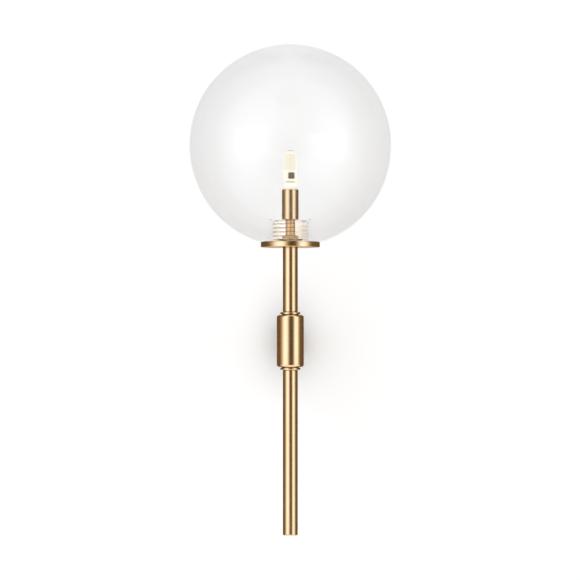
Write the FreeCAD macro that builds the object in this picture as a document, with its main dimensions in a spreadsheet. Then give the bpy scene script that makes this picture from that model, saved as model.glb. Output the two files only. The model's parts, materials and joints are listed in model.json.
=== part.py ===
import FreeCAD
import Part
import Sketcher
import math
import os

# Globe wall sconce, in millimetres. The origin is on the wall, at the arm's axis. +Z is up and the
# front faces -Y. A tee of brass tubes carries a screw-necked glass globe over a small pin-base bulb.
SIZES = {
    # rod and arm layout
    "rod_standoff": 115,
    "rod_diameter": 14.8,
    "rod_wall": 1.3,
    "upper_rod_length": 63.8,
    "lower_rod_length": 162.2,
    "arm_diameter": 25,
    "arm_wall": 1.5,
    # hub
    "hub_diameter": 26.8,
    "hub_length": 51.5,
    "hub_wall": 2.5,
    "hub_end_thickness": 4,
    "hub_edge_radius": 2.4,
    "hub_flat_offset": 7.5,
    # rings between the hub and the rods
    "ring_diameter": 19.8,
    "ring_bead_height": 2.6,
    "ring_neck_height": 0.7,
    "ring_neck_step": 1.5,
    "ring_bead_radius": 1.25,
    # hollow threaded stems, their nuts and inserts
    "stem_diameter": 10,
    "stem_bore": 7.5,
    "thread_clearance": 0.05,
    "stem_proud": 0.5,
    "nut_across_flats": 14,
    "nut_thickness": 3,
    "insert_length": 10,
    "insert_clearance": 0.05,
    # lower end
    "end_cap_lip": 1.2,
    "end_cap_plug": 8,
    "end_cap_radius": 0.9,
    # gallery plate and seal
    "plate_diameter": 58.5,
    "plate_thickness": 5.2,
    "plate_edge_radius": 0.8,
    "seal_inner_radius": 22,
    "seal_width": 5.5,
    "seal_thickness": 0.8,
    "seal_recess": 0.5,
    "seal_clearance": 0.3,
    # glass globe
    "globe_diameter": 200,
    "globe_wall": 2.5,
    "globe_foot_radius": 31,
    "neck_bore": 36,
    "neck_wall": 3.5,
    "neck_height": 22,
    "neck_mouth_radius": 3.5,
    "neck_foot_radius": 3.5,
    "neck_lip_radius": 1.5,
    "globe_fold_radius": 3,
    # clear screw collar inside the neck
    "collar_diameter": 35,
    "collar_bore": 25,
    "collar_floor": 2,
    "collar_height": 20.8,
    "washer_diameter": 24,
    "washer_thickness": 1,
    # socket cup
    "cup_diameter": 16.4,
    "cup_wall": 1,
    "cup_floor": 3,
    "cup_height": 29.7,
    "cup_gap": 1.3,
    "cup_edge_radius": 0.3,
    # lampholder
    "holder_diameter": 13.6,
    "holder_height": 17,
    "holder_recess": 0.5,
    "holder_half_flat": 5.2,
    "holder_slot_length": 3,
    "holder_slot_width": 2,
    "holder_slot_depth": 13,
    "holder_wire_hole": 2.2,
    "holder_wire_depth": 3,
    "pin_spacing": 9,
    "contact_length": 2.6,
    "contact_sheet": 0.3,
    "contact_height": 11,
    "contact_gap": 1.2,
    "bracket_sheet": 0.5,
    "bracket_width": 4,
    "bracket_height": 14,
    "bracket_gap": 0.05,
    "bracket_rim_gap": 0.2,
    "bracket_screw_head": 3.2,
    "bracket_screw_head_height": 1,
    "bracket_screw_shank": 1.9,
    "bracket_screw_length": 3.4,
    "bracket_screw_drop": 2.2,
    # bulb
    "bulb_diameter": 16.2,
    "bulb_height": 38.5,
    "bulb_wall": 0.8,
    "bulb_shoulder_radius": 6,
    "bulb_gap": 0.5,
    "bulb_base_height": 3,
    "bulb_spigot_height": 2,
    "bulb_spigot_clearance": 0.1,
    "board_width": 11,
    "board_thickness": 1,
    "board_top_gap": 3.1,
    "board_seat": 1.5,
    "board_seat_clearance": 0.1,
    "panel_width": 10.2,
    "panel_height": 16,
    "panel_thickness": 0.8,
    "panel_top_gap": 0.5,
    "chip_width": 5.8,
    "chip_height": 6.2,
    "chip_thickness": 1.2,
    "chip_offset": 1,
    "chip_bottom": 10.4,
    "small_part_width": 1.6,
    "small_part_height": 1.1,
    "small_part_thickness": 0.8,
    "small_part_pitch": 2.4,
    "small_part_bottom": 6.6,
    "pin_loop_width": 2.2,
    "pin_wire": 0.8,
    "pin_length": 12.3,
    # wall boss inside the arm, and what fastens it
    "boss_length": 12,
    "boss_clearance": 0.1,
    "wall_hole_spacing": 14,
    "wall_hole": 3.6,
    "wall_hole_counterbore": 6,
    "wall_hole_floor": 4,
    "feed_hole": 6.5,
    "grub_diameter": 3,
    "grub_length": 4,
    "grub_setback": 8,
    "grub_angle": 45,
    "grub_clearance": 0.05,
    "grub_sink": 0.3,
    "grub_hex": 1.5,
    # arm plug and earth lug
    "plug_thickness": 6,
    "plug_setback": 0.5,
    "lug_sheet": 0.6,
    "lug_nut_gap": 0.4,
    "lug_barrel": 3.2,
    "lug_barrel_length": 5,
    # terminal block
    "block_side_gap": 2,
    "block_length": 14,
    "block_height": 10,
    "block_setback": 27,
    "block_bore": 3.4,
    "sleeve_clearance": 0.05,
    "sleeve_wall": 0.5,
    "sleeve_length": 12,
    "terminal_screw_diameter": 3,
    "terminal_screw_length": 2.6,
    "terminal_screw_spacing": 7,
    "terminal_well": 3.2,
    # inner wiring
    "wire_diameter": 1.8,
    "wire_pair_spacing": 2.4,
    "wire_bend_radius": 10,
    "wire_entry": 2,
}

# a cut of this many times a thickness goes right through it
THROUGH = 3
# parts in the row on the bulb's board
SMALL_PARTS = 4
# lays a solid that stands on its base along the arm, towards the front
ALONG_ARM = FreeCAD.Rotation(FreeCAD.Vector(1, 0, 0), 90)
# the same, turned so that a nut has its corners above and below
NUT_IN_HUB = ALONG_ARM * FreeCAD.Rotation(FreeCAD.Vector(0, 0, 1), 30)


class Size:
    # A length that knows its value and the sheet expression that gives it.
    def __init__(self, value, text):
        self.value = value
        self.text = text

    def __add__(self, other):
        return combined(self, "+", other)

    def __sub__(self, other):
        return combined(self, "-", other)

    def __rsub__(self, other):
        return combined(other, "-", self)

    def __mul__(self, other):
        return combined(self, "*", other)

    def __truediv__(self, other):
        return combined(self, "/", other)

    def __neg__(self):
        return combined(0, "-", self)

    __radd__ = __add__
    __rmul__ = __mul__


def as_size(amount):
    return amount if isinstance(amount, Size) else Size(float(amount), repr(amount))


def combined(left, sign, right):
    left = as_size(left)
    right = as_size(right)
    values = {
        "+": left.value + right.value,
        "-": left.value - right.value,
        "*": left.value * right.value,
    }
    value = left.value / right.value if sign == "/" else values[sign]
    return Size(value, f"({left.text} {sign} {right.text})")


def other_leg(long_side, leg):
    # the other leg of a right triangle
    value = math.sqrt(long_side.value**2 - leg.value**2)
    return Size(value, f"sqrt({long_side.text} ^ 2 - {leg.text} ^ 2)")


class Sizes:
    # Each alias of the sheet, read as a Size.
    def __init__(self, doc, values):
        sheet = doc.addObject("Spreadsheet::Sheet", "sizes")
        for row, (alias, value) in enumerate(values.items(), start=1):
            sheet.set(f"A{row}", alias)
            sheet.set(f"B{row}", str(value))
            sheet.setAlias(f"B{row}", alias)
        doc.recompute()
        self.sheet = sheet

    def __getattr__(self, alias):
        return Size(float(self.sheet.get(alias)), f"sizes.{alias}")


def bind(feature, prop, amount):
    feature.setExpression(prop, as_size(amount).text)


def put(feature, x=0, y=0, z=0):
    for axis, amount in (("x", x), ("y", y), ("z", z)):
        if as_size(amount).value:
            bind(feature, f"Placement.Base.{axis}", amount)
    return feature


# Sketched bodies


def new_body(doc, label):
    body = doc.addObject("PartDesign::Body", label)
    body.Label = label
    return body


def sketch_on(body, plane, offset=0):
    sketch = body.newObject("Sketcher::SketchObject", f"{body.Name}_sketch")
    support = next(item for item in body.Origin.OriginFeatures if item.Role == plane)
    sketch.AttachmentSupport = [(support, "")]
    sketch.MapMode = "FlatFace"
    if as_size(offset).value:
        bind(sketch, "AttachmentOffset.Base.z", offset)
    return sketch


def hold_point(sketch, geometry, point, place):
    # ties one point of the sketch to its two distances from the origin
    for kind, axis, amount in (("DistanceX", -2, place[0]), ("DistanceY", -1, place[1])):
        amount = as_size(amount)
        if amount.text == "0":
            sketch.addConstraint(Sketcher.Constraint("PointOnObject", geometry, point, axis))
        else:
            index = sketch.addConstraint(
                Sketcher.Constraint(kind, -1, 1, geometry, point, amount.value))
            bind(sketch, f"Constraints[{index}]", amount)


def arc_between(start, end, radius):
    # the shorter arc that turns left from start to end
    middle = (start + end) * 0.5
    half = (end - start) * 0.5
    rise = math.sqrt(radius**2 - half.Length**2)
    left = FreeCAD.Vector(-half.y, half.x, 0).normalize()
    centre = middle + left * rise
    angles = [math.atan2(p.y - centre.y, p.x - centre.x) for p in (start, end)]
    circle = Part.Circle(centre, FreeCAD.Vector(0, 0, 1), radius)
    return Part.ArcOfCircle(circle, angles[0], angles[1])


def outline(sketch, corners, arcs=None):
    # A closed outline. arcs gives the radius of each side that is an arc: positive turns left,
    # and negative turns right. A side has the number of the corner that it starts from.
    arcs = arcs or {}
    points = [FreeCAD.Vector(as_size(x).value, as_size(y).value, 0) for x, y in corners]
    ends = []
    for index, start in enumerate(points):
        end = points[(index + 1) % len(points)]
        radius = arcs.get(index)
        if radius is None:
            side = sketch.addGeometry(Part.LineSegment(start, end), False)
            ends.append((side, 1, 2))
            continue
        turns_left = radius.value > 0
        first, last = (start, end) if turns_left else (end, start)
        side = sketch.addGeometry(arc_between(first, last, abs(radius.value)), False)
        ends.append((side, 1, 2) if turns_left else (side, 2, 1))
        size = radius if turns_left else -radius
        number = sketch.addConstraint(Sketcher.Constraint("Radius", side, abs(radius.value)))
        bind(sketch, f"Constraints[{number}]", size)
    for index, (side, first, last) in enumerate(ends):
        after, after_first, _ = ends[(index + 1) % len(ends)]
        sketch.addConstraint(Sketcher.Constraint("Coincident", side, last, after, after_first))
        hold_point(sketch, side, first, corners[index])


def circle(sketch, radius, x=0, y=0):
    place = FreeCAD.Vector(as_size(x).value, as_size(y).value, 0)
    shape = Part.Circle(place, FreeCAD.Vector(0, 0, 1), radius.value)
    number = sketch.addGeometry(shape, False)
    index = sketch.addConstraint(Sketcher.Constraint("Radius", number, radius.value))
    bind(sketch, f"Constraints[{index}]", radius)
    hold_point(sketch, number, 3, (x, y))


def rectangle(sketch, left, right, bottom, top):
    outline(sketch, [(left, bottom), (right, bottom), (right, top), (left, top)])


def pad(body, sketch, length, both_ways=False, backwards=False):
    feature = body.newObject("PartDesign::Pad", f"{body.Name}_pad")
    feature.Profile = sketch
    feature.SideType = "Symmetric" if both_ways else "One side"
    feature.Reversed = backwards
    bind(feature, "Length", length)
    return feature


def cut(body, sketch, length, both_ways=True, backwards=False):
    # a pocket, which has to take something away
    body.Document.recompute()
    before = body.Shape.Volume
    feature = body.newObject("PartDesign::Pocket", f"{body.Name}_pocket")
    feature.Profile = sketch
    feature.SideType = "Symmetric" if both_ways else "One side"
    feature.Reversed = backwards
    bind(feature, "Length", length)
    body.Document.recompute()
    if not body.Shape.Volume < before:
        raise ValueError(f"{body.Label}: a pocket cut nothing")
    return feature


def turned(doc, label, corners, arcs=None):
    # a body turned about its own Z axis from a half section
    body = new_body(doc, label)
    sketch = sketch_on(body, "XZ_Plane")
    outline(sketch, corners, arcs)
    spin = body.newObject("PartDesign::Revolution", f"{label}_turned")
    spin.Profile = sketch
    spin.ReferenceAxis = (sketch, ["V_Axis"])
    spin.Angle = 360
    doc.recompute()
    return body


def edges_near(shape, radius, height):
    # names of the round edges about the Z axis with this radius and height
    names = []
    for number, edge in enumerate(shape.Edges, start=1):
        round_edge = not edge.Degenerated and isinstance(edge.Curve, Part.Circle)
        if round_edge and abs(edge.Curve.Radius - radius) < 0.02:
            if abs(edge.Curve.Center.z - height) < 0.02 and abs(edge.Curve.Axis.z) > 0.99:
                names.append(f"Edge{number}")
    return names


def rounded(body, radius, places):
    # fillets the round edges at each (radius, height) of places
    body.Document.recompute()
    tip = body.Tip
    names = []
    for edge_radius, height in places:
        found = edges_near(tip.Shape, as_size(edge_radius).value, as_size(height).value)
        if not found:
            raise ValueError(f"{body.Label}: no edge to round")
        names.extend(found)
    feature = body.newObject("PartDesign::Fillet", f"{body.Name}_fillet")
    feature.Base = (tip, names)
    bind(feature, "Radius", radius)
    body.Document.recompute()
    return feature


# Plain solids


def cylinder(doc, name, radius, height, x=0, y=0, z=0, turn=None):
    feature = doc.addObject("Part::Cylinder", name)
    bind(feature, "Radius", radius)
    bind(feature, "Height", height)
    if turn is not None:
        feature.Placement = FreeCAD.Placement(FreeCAD.Vector(), turn)
    return put(feature, x, y, z)


def box(doc, name, width, depth, height, x=0, y=0, z=0):
    # a box centred on x and y, standing on z
    feature = doc.addObject("Part::Box", name)
    bind(feature, "Length", width)
    bind(feature, "Width", depth)
    bind(feature, "Height", height)
    return put(feature, x - width / 2, y - depth / 2, z)


def minus(doc, name, base, tool):
    feature = doc.addObject("Part::Cut", name)
    feature.Base = base
    feature.Tool = tool
    return feature


def group(doc, label, members):
    feature = doc.addObject("Part::Compound", label)
    feature.Label = label
    feature.Links = members
    return feature


def joined(doc, label, members):
    feature = doc.addObject("Part::MultiFuse", label)
    feature.Shapes = members
    feature.Label = label
    return feature


def tube(doc, name, outer, inner, length, x=0, y=0, z=0, turn=None):
    # a plain tube that starts at the given place
    outside = cylinder(doc, f"{name}_outside", outer, length, x, y, z, turn)
    inside = cylinder(doc, f"{name}_inside", inner, length, x, y, z, turn)
    return minus(doc, name, outside, inside)


def nut(doc, name, s, x=0, y=0, z=0, turn=None):
    # a hexagonal lock nut on a hollow stem
    body = doc.addObject("Part::Prism", f"{name}_hexagon")
    body.Polygon = 6
    bind(body, "Circumradius", s.nut_across_flats / math.sqrt(3))
    bind(body, "Height", s.nut_thickness)
    if turn is not None:
        body.Placement = FreeCAD.Placement(FreeCAD.Vector(), turn)
    put(body, x, y, z)
    bore = s.stem_diameter / 2 + s.thread_clearance
    hole = cylinder(doc, f"{name}_hole", bore, s.nut_thickness, x, y, z, turn)
    return minus(doc, name, body, hole)


# Wall end of the arm


def make_wall_boss(doc, s):
    # steel boss that two screws hold to the wall, and the arm slides over
    body = new_body(doc, "wall_boss_turned")
    face = sketch_on(body, "XZ_Plane")
    circle(face, s.boss_radius)
    pad(body, face, s.boss_length)
    feed = sketch_on(body, "XZ_Plane")
    circle(feed, s.feed_hole / 2)
    cut(body, feed, s.boss_length * THROUGH)
    holes = sketch_on(body, "XZ_Plane")
    heads = sketch_on(body, "XZ_Plane", s.boss_length)
    for side in (-1, 1):
        circle(holes, s.wall_hole / 2, side * s.wall_hole_spacing / 2)
        circle(heads, s.wall_hole_counterbore / 2, side * s.wall_hole_spacing / 2)
    cut(body, holes, s.boss_length * THROUGH)
    cut(body, heads, (s.boss_length - s.wall_hole_floor) * 2)
    return bored_for_grubs(doc, "wall_boss", body, s, s.grub_seat - s.grub_clearance)


def grub_bar(doc, name, radius, length, s, start, side):
    # a bar that points down and out from the arm's axis, at one grub screw
    lean = math.radians(s.grub_angle.value)
    turn = FreeCAD.Rotation(FreeCAD.Vector(0, 1, 0), side * (180 - s.grub_angle.value))
    across = start * (side * math.sin(lean))
    down = start * -math.cos(lean)
    return cylinder(doc, name, radius, length, across, -s.grub_setback, down, turn)


def bored_for_grubs(doc, label, body, s, start):
    # cuts the two grub screw holes from the given radius outwards
    radius = s.grub_diameter / 2 + s.grub_clearance
    bars = [
        grub_bar(doc, f"{label}_bore_{number}", radius, s.arm_diameter, s, start, side)
        for number, side in enumerate((-1, 1))
    ]
    feature = minus(doc, label, body, group(doc, f"{label}_bores", bars))
    feature.Label = label
    return feature


def make_grub_screws(doc, s):
    screws = []
    for number, side in enumerate((-1, 1)):
        name = f"grub_{number}"
        shank = grub_bar(doc, f"{name}_shank", s.grub_diameter / 2, s.grub_length, s, s.grub_seat, side)
        socket_start = s.grub_seat + s.grub_length - s.grub_hex
        socket = grub_bar(doc, f"{name}_socket", s.grub_hex / 2, s.grub_hex, s, socket_start, side)
        screws.append(minus(doc, name, shank, socket))
    return group(doc, "grub_screws", screws)


def make_arm_tube(doc, s):
    # round tube from the wall to the hub, coped to sit round the hub's back
    body = new_body(doc, "arm_tube_coped")
    ends = sketch_on(body, "XZ_Plane")
    circle(ends, s.arm_diameter / 2)
    circle(ends, s.arm_bore_radius)
    pad(body, ends, s.rod_standoff)
    saddle = sketch_on(body, "XY_Plane")
    circle(saddle, s.hub_diameter / 2, 0, -s.rod_standoff)
    cut(body, saddle, s.arm_diameter * THROUGH)
    return bored_for_grubs(doc, "arm_tube", body, s, s.arm_bore_radius - s.arm_wall)


def make_arm_plug(doc, s):
    # disc brazed in the arm's front end, which the arm stem is screwed through
    outer = s.arm_bore_radius - s.insert_clearance
    bore = s.stem_diameter / 2 + s.thread_clearance
    plug = tube(doc, "arm_plug", outer, bore, s.plug_thickness, 0, s.plug_back, 0, ALONG_ARM)
    return plug


def make_arm_stem(doc, s):
    # hollow threaded stem that pulls the arm against the hub
    front = -s.rod_standoff + s.hub_flat_offset - s.nut_thickness - s.stem_proud
    back = s.plug_back + s.lug_sheet + s.nut_thickness + s.stem_proud
    return tube(doc, "arm_stem", s.stem_diameter / 2, s.stem_bore / 2, back - front, 0, back, 0,
                ALONG_ARM)


def make_earth_lug(doc, s):
    # ring tag on the arm stem, with a strip below the nut to a crimp barrel for the earth wire
    bore = s.stem_diameter / 2 + s.thread_clearance
    back = s.plug_back + s.lug_sheet
    ring = tube(doc, "lug_ring", s.nut_across_flats / 2, bore, s.lug_sheet, 0, back, 0, ALONG_ARM)
    tab = box(doc, "lug_tab", s.lug_barrel, s.lug_sheet, s.lug_low - s.stem_diameter / 2 - s.lug_sheet,
              0, s.plug_back + s.lug_sheet / 2, -s.lug_low)
    strip_length = s.stem_back + s.lug_sheet - s.plug_back
    strip = box(doc, "lug_strip", s.lug_barrel, strip_length, s.lug_sheet, 0,
                s.plug_back + strip_length / 2, -s.lug_low)
    barrel = cylinder(doc, "lug_barrel_outside", s.lug_barrel / 2, s.lug_barrel_length,
                      0, s.lug_back, -s.lug_drop, ALONG_ARM)
    solid = joined(doc, "lug_solid", [ring, tab, strip, barrel])
    hole = cylinder(doc, "lug_barrel_hole", s.wire_hole_radius, s.lug_barrel_length,
                    0, s.lug_back, -s.lug_drop, ALONG_ARM)
    return minus(doc, "earth_lug", solid, hole)


# Terminal block in the arm


def make_terminal_block(doc, s):
    body = new_body(doc, "terminal_block")
    face = sketch_on(body, "XZ_Plane", s.block_setback)
    rectangle(face, -s.block_width / 2, s.block_width / 2, s.block_bottom, s.block_bottom + s.block_height)
    pad(body, face, s.block_length)
    bores = sketch_on(body, "XZ_Plane", s.block_setback)
    wells = sketch_on(body, "XY_Plane", s.block_bottom + s.block_height)
    for pole in (-1, 0, 1):
        circle(bores, s.block_bore / 2, pole * s.block_pitch, s.pole_height)
        for end in (-1, 1):
            along = -s.block_middle + end * s.terminal_screw_spacing / 2
            circle(wells, s.terminal_well / 2, pole * s.block_pitch, along)
    cut(body, bores, s.block_length * THROUGH)
    cut(body, wells, s.block_height - s.block_bore / 2)
    return body


def make_terminal_sleeves(doc, s):
    # one brass sleeve in each pole of the block
    outer = s.block_bore / 2 - s.sleeve_clearance
    start = -s.block_middle + s.sleeve_length / 2
    sleeves = [
        tube(doc, f"sleeve_{number}", outer, outer - s.sleeve_wall, s.sleeve_length,
             pole * s.block_pitch, start, s.pole_height, ALONG_ARM)
        for number, pole in enumerate((-1, 0, 1))
    ]
    return group(doc, "terminal_sleeves", sleeves)


def make_terminal_screws(doc, s):
    # two clamping screws above each sleeve
    screws = []
    for pole in (-1, 0, 1):
        for end in (-1, 1):
            along = -s.block_middle + end * s.terminal_screw_spacing / 2
            screws.append(cylinder(doc, "terminal_screw", s.terminal_screw_diameter / 2,
                                   s.terminal_screw_length, pole * s.block_pitch, along,
                                   s.pole_height + s.block_bore / 2))
    return group(doc, "terminal_screws", screws)


# Hub and rods


def make_hub_body(doc, s):
    # vertical brass cylinder, closed above and open below, with a flat seat inside its back wall
    half = s.hub_length / 2
    radius = s.hub_diameter / 2
    bore = s.stem_diameter / 2 + s.thread_clearance
    body = new_body(doc, "hub_body")
    end = sketch_on(body, "XY_Plane", -half)
    circle(end, radius)
    pad(body, end, s.hub_length)
    rounded(body, s.hub_edge_radius, [(radius, half), (radius, -half)])
    mouth = sketch_on(body, "XY_Plane", -half)
    circle(mouth, s.hub_bore_radius)
    cut(body, mouth, s.hub_end_thickness * 2)
    hollow = sketch_on(body, "XY_Plane")
    reach = other_leg(s.hub_bore_radius, s.hub_flat_offset)
    corners = [(reach, s.hub_flat_offset), (-reach, s.hub_flat_offset), (0, -s.hub_bore_radius)]
    outline(hollow, corners, {1: s.hub_bore_radius, 2: s.hub_bore_radius})
    cut(body, hollow, s.hub_length - s.hub_end_thickness * 2)
    top = sketch_on(body, "XY_Plane", half)
    circle(top, bore)
    cut(body, top, s.hub_end_thickness * THROUGH)
    back = sketch_on(body, "XZ_Plane")
    circle(back, bore)
    cut(body, back, s.hub_diameter, both_ways=False)
    return put(body, 0, -s.rod_standoff, 0)


def make_hub_base(doc, s):
    # threaded disc that closes the hub below
    half = s.hub_length / 2
    outer = s.hub_bore_radius - s.thread_clearance
    bore = s.stem_diameter / 2 + s.thread_clearance
    low = -half
    high = low + s.hub_end_thickness
    body = turned(doc, "hub_base", [(bore, low), (outer, low), (outer, high), (bore, high)])
    return put(body, 0, -s.rod_standoff, 0)


def make_ring(doc, s, label, side):
    # beaded ring between the hub and a rod; side is 1 above the hub and -1 below it
    bore = s.stem_diameter / 2 + s.thread_clearance
    bead = s.ring_diameter / 2
    neck = bead - s.ring_neck_step
    start = side * s.hub_length / 2
    step = start + side * s.ring_neck_height
    end = step + side * s.ring_bead_height
    body = turned(doc, label, [(bore, start), (neck, start), (neck, step), (bead, step),
                               (bead, end), (bore, end)])
    rounded(body, s.ring_bead_radius, [(bead, step), (bead, end)])
    return put(body, 0, -s.rod_standoff, 0)


def make_rod(doc, s, label, low, high):
    outer = s.rod_diameter / 2
    inner = outer - s.rod_wall
    body = turned(doc, label, [(inner, low), (outer, low), (outer, high), (inner, high)])
    return put(body, 0, -s.rod_standoff, 0)


def make_insert(doc, s, name, low):
    # threaded bush fixed in the end of a rod
    outer = s.rod_diameter / 2 - s.rod_wall - s.insert_clearance
    bore = s.stem_diameter / 2 + s.thread_clearance
    return tube(doc, name, outer, bore, s.insert_length, 0, -s.rod_standoff, low)


def make_rod_inserts(doc, s):
    members = [
        make_insert(doc, s, "insert_upper_low", s.ring_end),
        make_insert(doc, s, "insert_upper_high", s.plate_bottom - s.insert_length),
        make_insert(doc, s, "insert_lower", -s.ring_end - s.insert_length),
    ]
    return group(doc, "rod_inserts", members)


def make_end_cap(doc, s):
    # plug with a rounded lip that closes the lower rod
    outer = s.rod_diameter / 2
    plug = outer - s.rod_wall - s.insert_clearance
    lip_top = -s.ring_end - s.lower_rod_length
    low = lip_top - s.end_cap_lip
    body = turned(doc, "rod_end_cap", [(0, low), (outer, low), (outer, lip_top), (plug, lip_top),
                                       (plug, lip_top + s.end_cap_plug), (0, lip_top + s.end_cap_plug)])
    rounded(body, s.end_cap_radius, [(outer, low)])
    return put(body, 0, -s.rod_standoff, 0)


def make_hub_stems(doc, s):
    # hollow stems that join each rod to the hub
    inner_end = s.hub_length / 2 - s.hub_end_thickness - s.nut_thickness - s.stem_proud
    length = s.ring_end + s.insert_length - inner_end
    upper = tube(doc, "stem_above", s.stem_diameter / 2, s.stem_bore / 2, length,
                 0, -s.rod_standoff, inner_end)
    lower = tube(doc, "stem_below", s.stem_diameter / 2, s.stem_bore / 2, length,
                 0, -s.rod_standoff, -inner_end - length)
    return group(doc, "hub_stems", [upper, lower])


def make_gallery_stem(doc, s):
    # hollow stem from the upper rod through the plate and collar to the socket cup
    low = s.plate_bottom - s.insert_length
    high = s.cup_bottom + s.cup_floor + s.bracket_sheet
    return tube(doc, "gallery_stem", s.stem_diameter / 2, s.stem_bore / 2, high - low,
                0, -s.rod_standoff, low)


def make_lock_nuts(doc, s):
    above = s.hub_length / 2 - s.hub_end_thickness
    inside_back = -s.rod_standoff + s.hub_flat_offset
    on_plug = s.plug_back + s.lug_sheet + s.nut_thickness
    on_collar = s.plate_top + s.collar_floor + s.washer_thickness
    members = [
        nut(doc, "nut_above", s, 0, -s.rod_standoff, above - s.nut_thickness),
        nut(doc, "nut_below", s, 0, -s.rod_standoff, -above),
        nut(doc, "nut_in_hub", s, 0, inside_back, 0, NUT_IN_HUB),
        nut(doc, "nut_in_arm", s, 0, on_plug, 0, ALONG_ARM),
        nut(doc, "nut_on_collar", s, 0, -s.rod_standoff, on_collar),
    ]
    return group(doc, "lock_nuts", members)


# Gallery and globe


def make_gallery_plate(doc, s):
    # thick brass disc with a shallow channel for the seal
    outer = s.plate_diameter / 2
    bore = s.stem_diameter / 2 + s.thread_clearance
    low = s.plate_bottom
    high = s.plate_top
    channel = high - s.seal_recess
    inside = s.seal_inner_radius - s.seal_clearance
    outside = s.seal_inner_radius + s.seal_width + s.seal_clearance
    body = turned(doc, "gallery_plate", [(bore, low), (outer, low), (outer, high), (outside, high),
                                         (outside, channel), (inside, channel), (inside, high),
                                         (bore, high)])
    rounded(body, s.plate_edge_radius, [(outer, low), (outer, high)])
    return put(body, 0, -s.rod_standoff, 0)


def make_globe_seal(doc, s):
    # flat clear ring under the glass
    inner = s.seal_inner_radius
    outer = inner + s.seal_width
    low = s.plate_top - s.seal_recess
    high = low + s.seal_thickness
    body = turned(doc, "globe_seal", [(inner, low), (outer, low), (outer, high), (inner, high)])
    return put(body, 0, -s.rod_standoff, 0)


def make_globe_glass(doc, s):
    # Blown globe of even wall. Its foot is pressed flat, then turns up inside as a short screw neck.
    radius = s.globe_diameter / 2
    inner = radius - s.globe_wall
    foot = s.glass_foot
    floor = foot + s.globe_wall
    centre = s.globe_centre
    bore = s.neck_bore / 2
    neck = bore + s.neck_wall
    lip = s.neck_top
    foot_edge = s.globe_foot_radius
    floor_edge = other_leg(inner, s.globe_centre_drop - s.globe_wall)
    corners = [(foot_edge, foot), (0, centre + radius), (0, centre + inner), (floor_edge, floor),
               (neck, floor), (neck, lip), (bore, lip), (bore, foot)]
    body = turned(doc, "globe_glass", corners, {0: radius, 2: -inner})
    rounded(body, s.neck_mouth_radius, [(bore, foot)])
    rounded(body, s.neck_foot_radius, [(neck, floor)])
    rounded(body, s.neck_lip_radius, [(bore, lip), (neck, lip)])
    rounded(body, s.globe_fold_radius, [(foot_edge, foot), (floor_edge, floor)])
    return put(body, 0, -s.rod_standoff, 0)


def make_screw_collar(doc, s):
    # clear cup-shaped collar that the neck screws on to
    outer = s.collar_diameter / 2
    bore = s.collar_bore / 2
    hole = s.stem_diameter / 2 + s.thread_clearance
    low = s.plate_top
    floor = low + s.collar_floor
    high = low + s.collar_height
    body = turned(doc, "screw_collar", [(hole, low), (outer, low), (outer, high), (bore, high),
                                        (bore, floor), (hole, floor)])
    return put(body, 0, -s.rod_standoff, 0)


def make_collar_washer(doc, s):
    hole = s.stem_diameter / 2 + s.thread_clearance
    return tube(doc, "collar_washer", s.washer_diameter / 2, hole, s.washer_thickness,
                0, -s.rod_standoff, s.plate_top + s.collar_floor)


# Socket cup and lampholder


def make_socket_cup(doc, s):
    outer = s.cup_diameter / 2
    inner = outer - s.cup_wall
    hole = s.stem_diameter / 2 + s.thread_clearance
    low = s.cup_bottom
    floor = low + s.cup_floor
    body = turned(doc, "socket_cup", [(hole, low), (outer, low), (outer, s.cup_top),
                                      (inner, s.cup_top), (inner, floor), (hole, floor)])
    rounded(body, s.cup_edge_radius, [(outer, low), (outer, s.cup_top)])
    return put(body, 0, -s.rod_standoff, 0)


def make_lampholder_body(doc, s):
    # ceramic block with two flats, two pin slots above and two wire holes below
    low = s.holder_bottom
    high = s.holder_top
    reach = other_leg(s.holder_diameter / 2, s.holder_half_flat)
    flat = s.holder_half_flat
    body = new_body(doc, "lampholder_body")
    plan = sketch_on(body, "XY_Plane", low)
    radius = s.holder_diameter / 2
    outline(plan, [(-reach, -flat), (reach, -flat), (reach, flat), (-reach, flat)], {1: radius, 3: radius})
    pad(body, plan, s.holder_height)
    slots = sketch_on(body, "XY_Plane", high)
    holes = sketch_on(body, "XY_Plane", low)
    for side in (-1, 1):
        middle = side * s.pin_spacing / 2
        rectangle(slots, middle - s.holder_slot_length / 2, middle + s.holder_slot_length / 2,
                  -s.holder_slot_width / 2, s.holder_slot_width / 2)
        circle(holes, s.holder_wire_hole / 2, middle)
    cut(body, slots, s.holder_slot_depth * 2)
    cut(body, holes, s.holder_wire_depth * 2)
    screws = sketch_on(body, "XZ_Plane")
    circle(screws, s.bracket_screw_shank / 2 + s.thread_clearance, 0, s.bracket_screw_height)
    cut(body, screws, s.holder_diameter * THROUGH)
    return put(body, 0, -s.rod_standoff, 0)


def make_lampholder_contacts(doc, s):
    # a sprung U of sheet in each slot, which grips one pin
    low = s.holder_top - s.holder_slot_depth
    half_gap = s.contact_gap / 2
    half = half_gap + s.contact_sheet
    contacts = []
    for name, side in (("contact_left", -1), ("contact_right", 1)):
        body = new_body(doc, name)
        middle = side * s.pin_spacing / 2
        section = sketch_on(body, "YZ_Plane", middle)
        outline(section, [(-half, low), (half, low), (half, low + s.contact_height),
                          (half_gap, low + s.contact_height), (half_gap, low + s.contact_sheet),
                          (-half_gap, low + s.contact_sheet), (-half_gap, low + s.contact_height),
                          (-half, low + s.contact_height)])
        pad(body, section, s.contact_length, both_ways=True)
        contacts.append(put(body, 0, -s.rod_standoff, 0))
    return group(doc, "lampholder_contacts", contacts)


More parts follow.
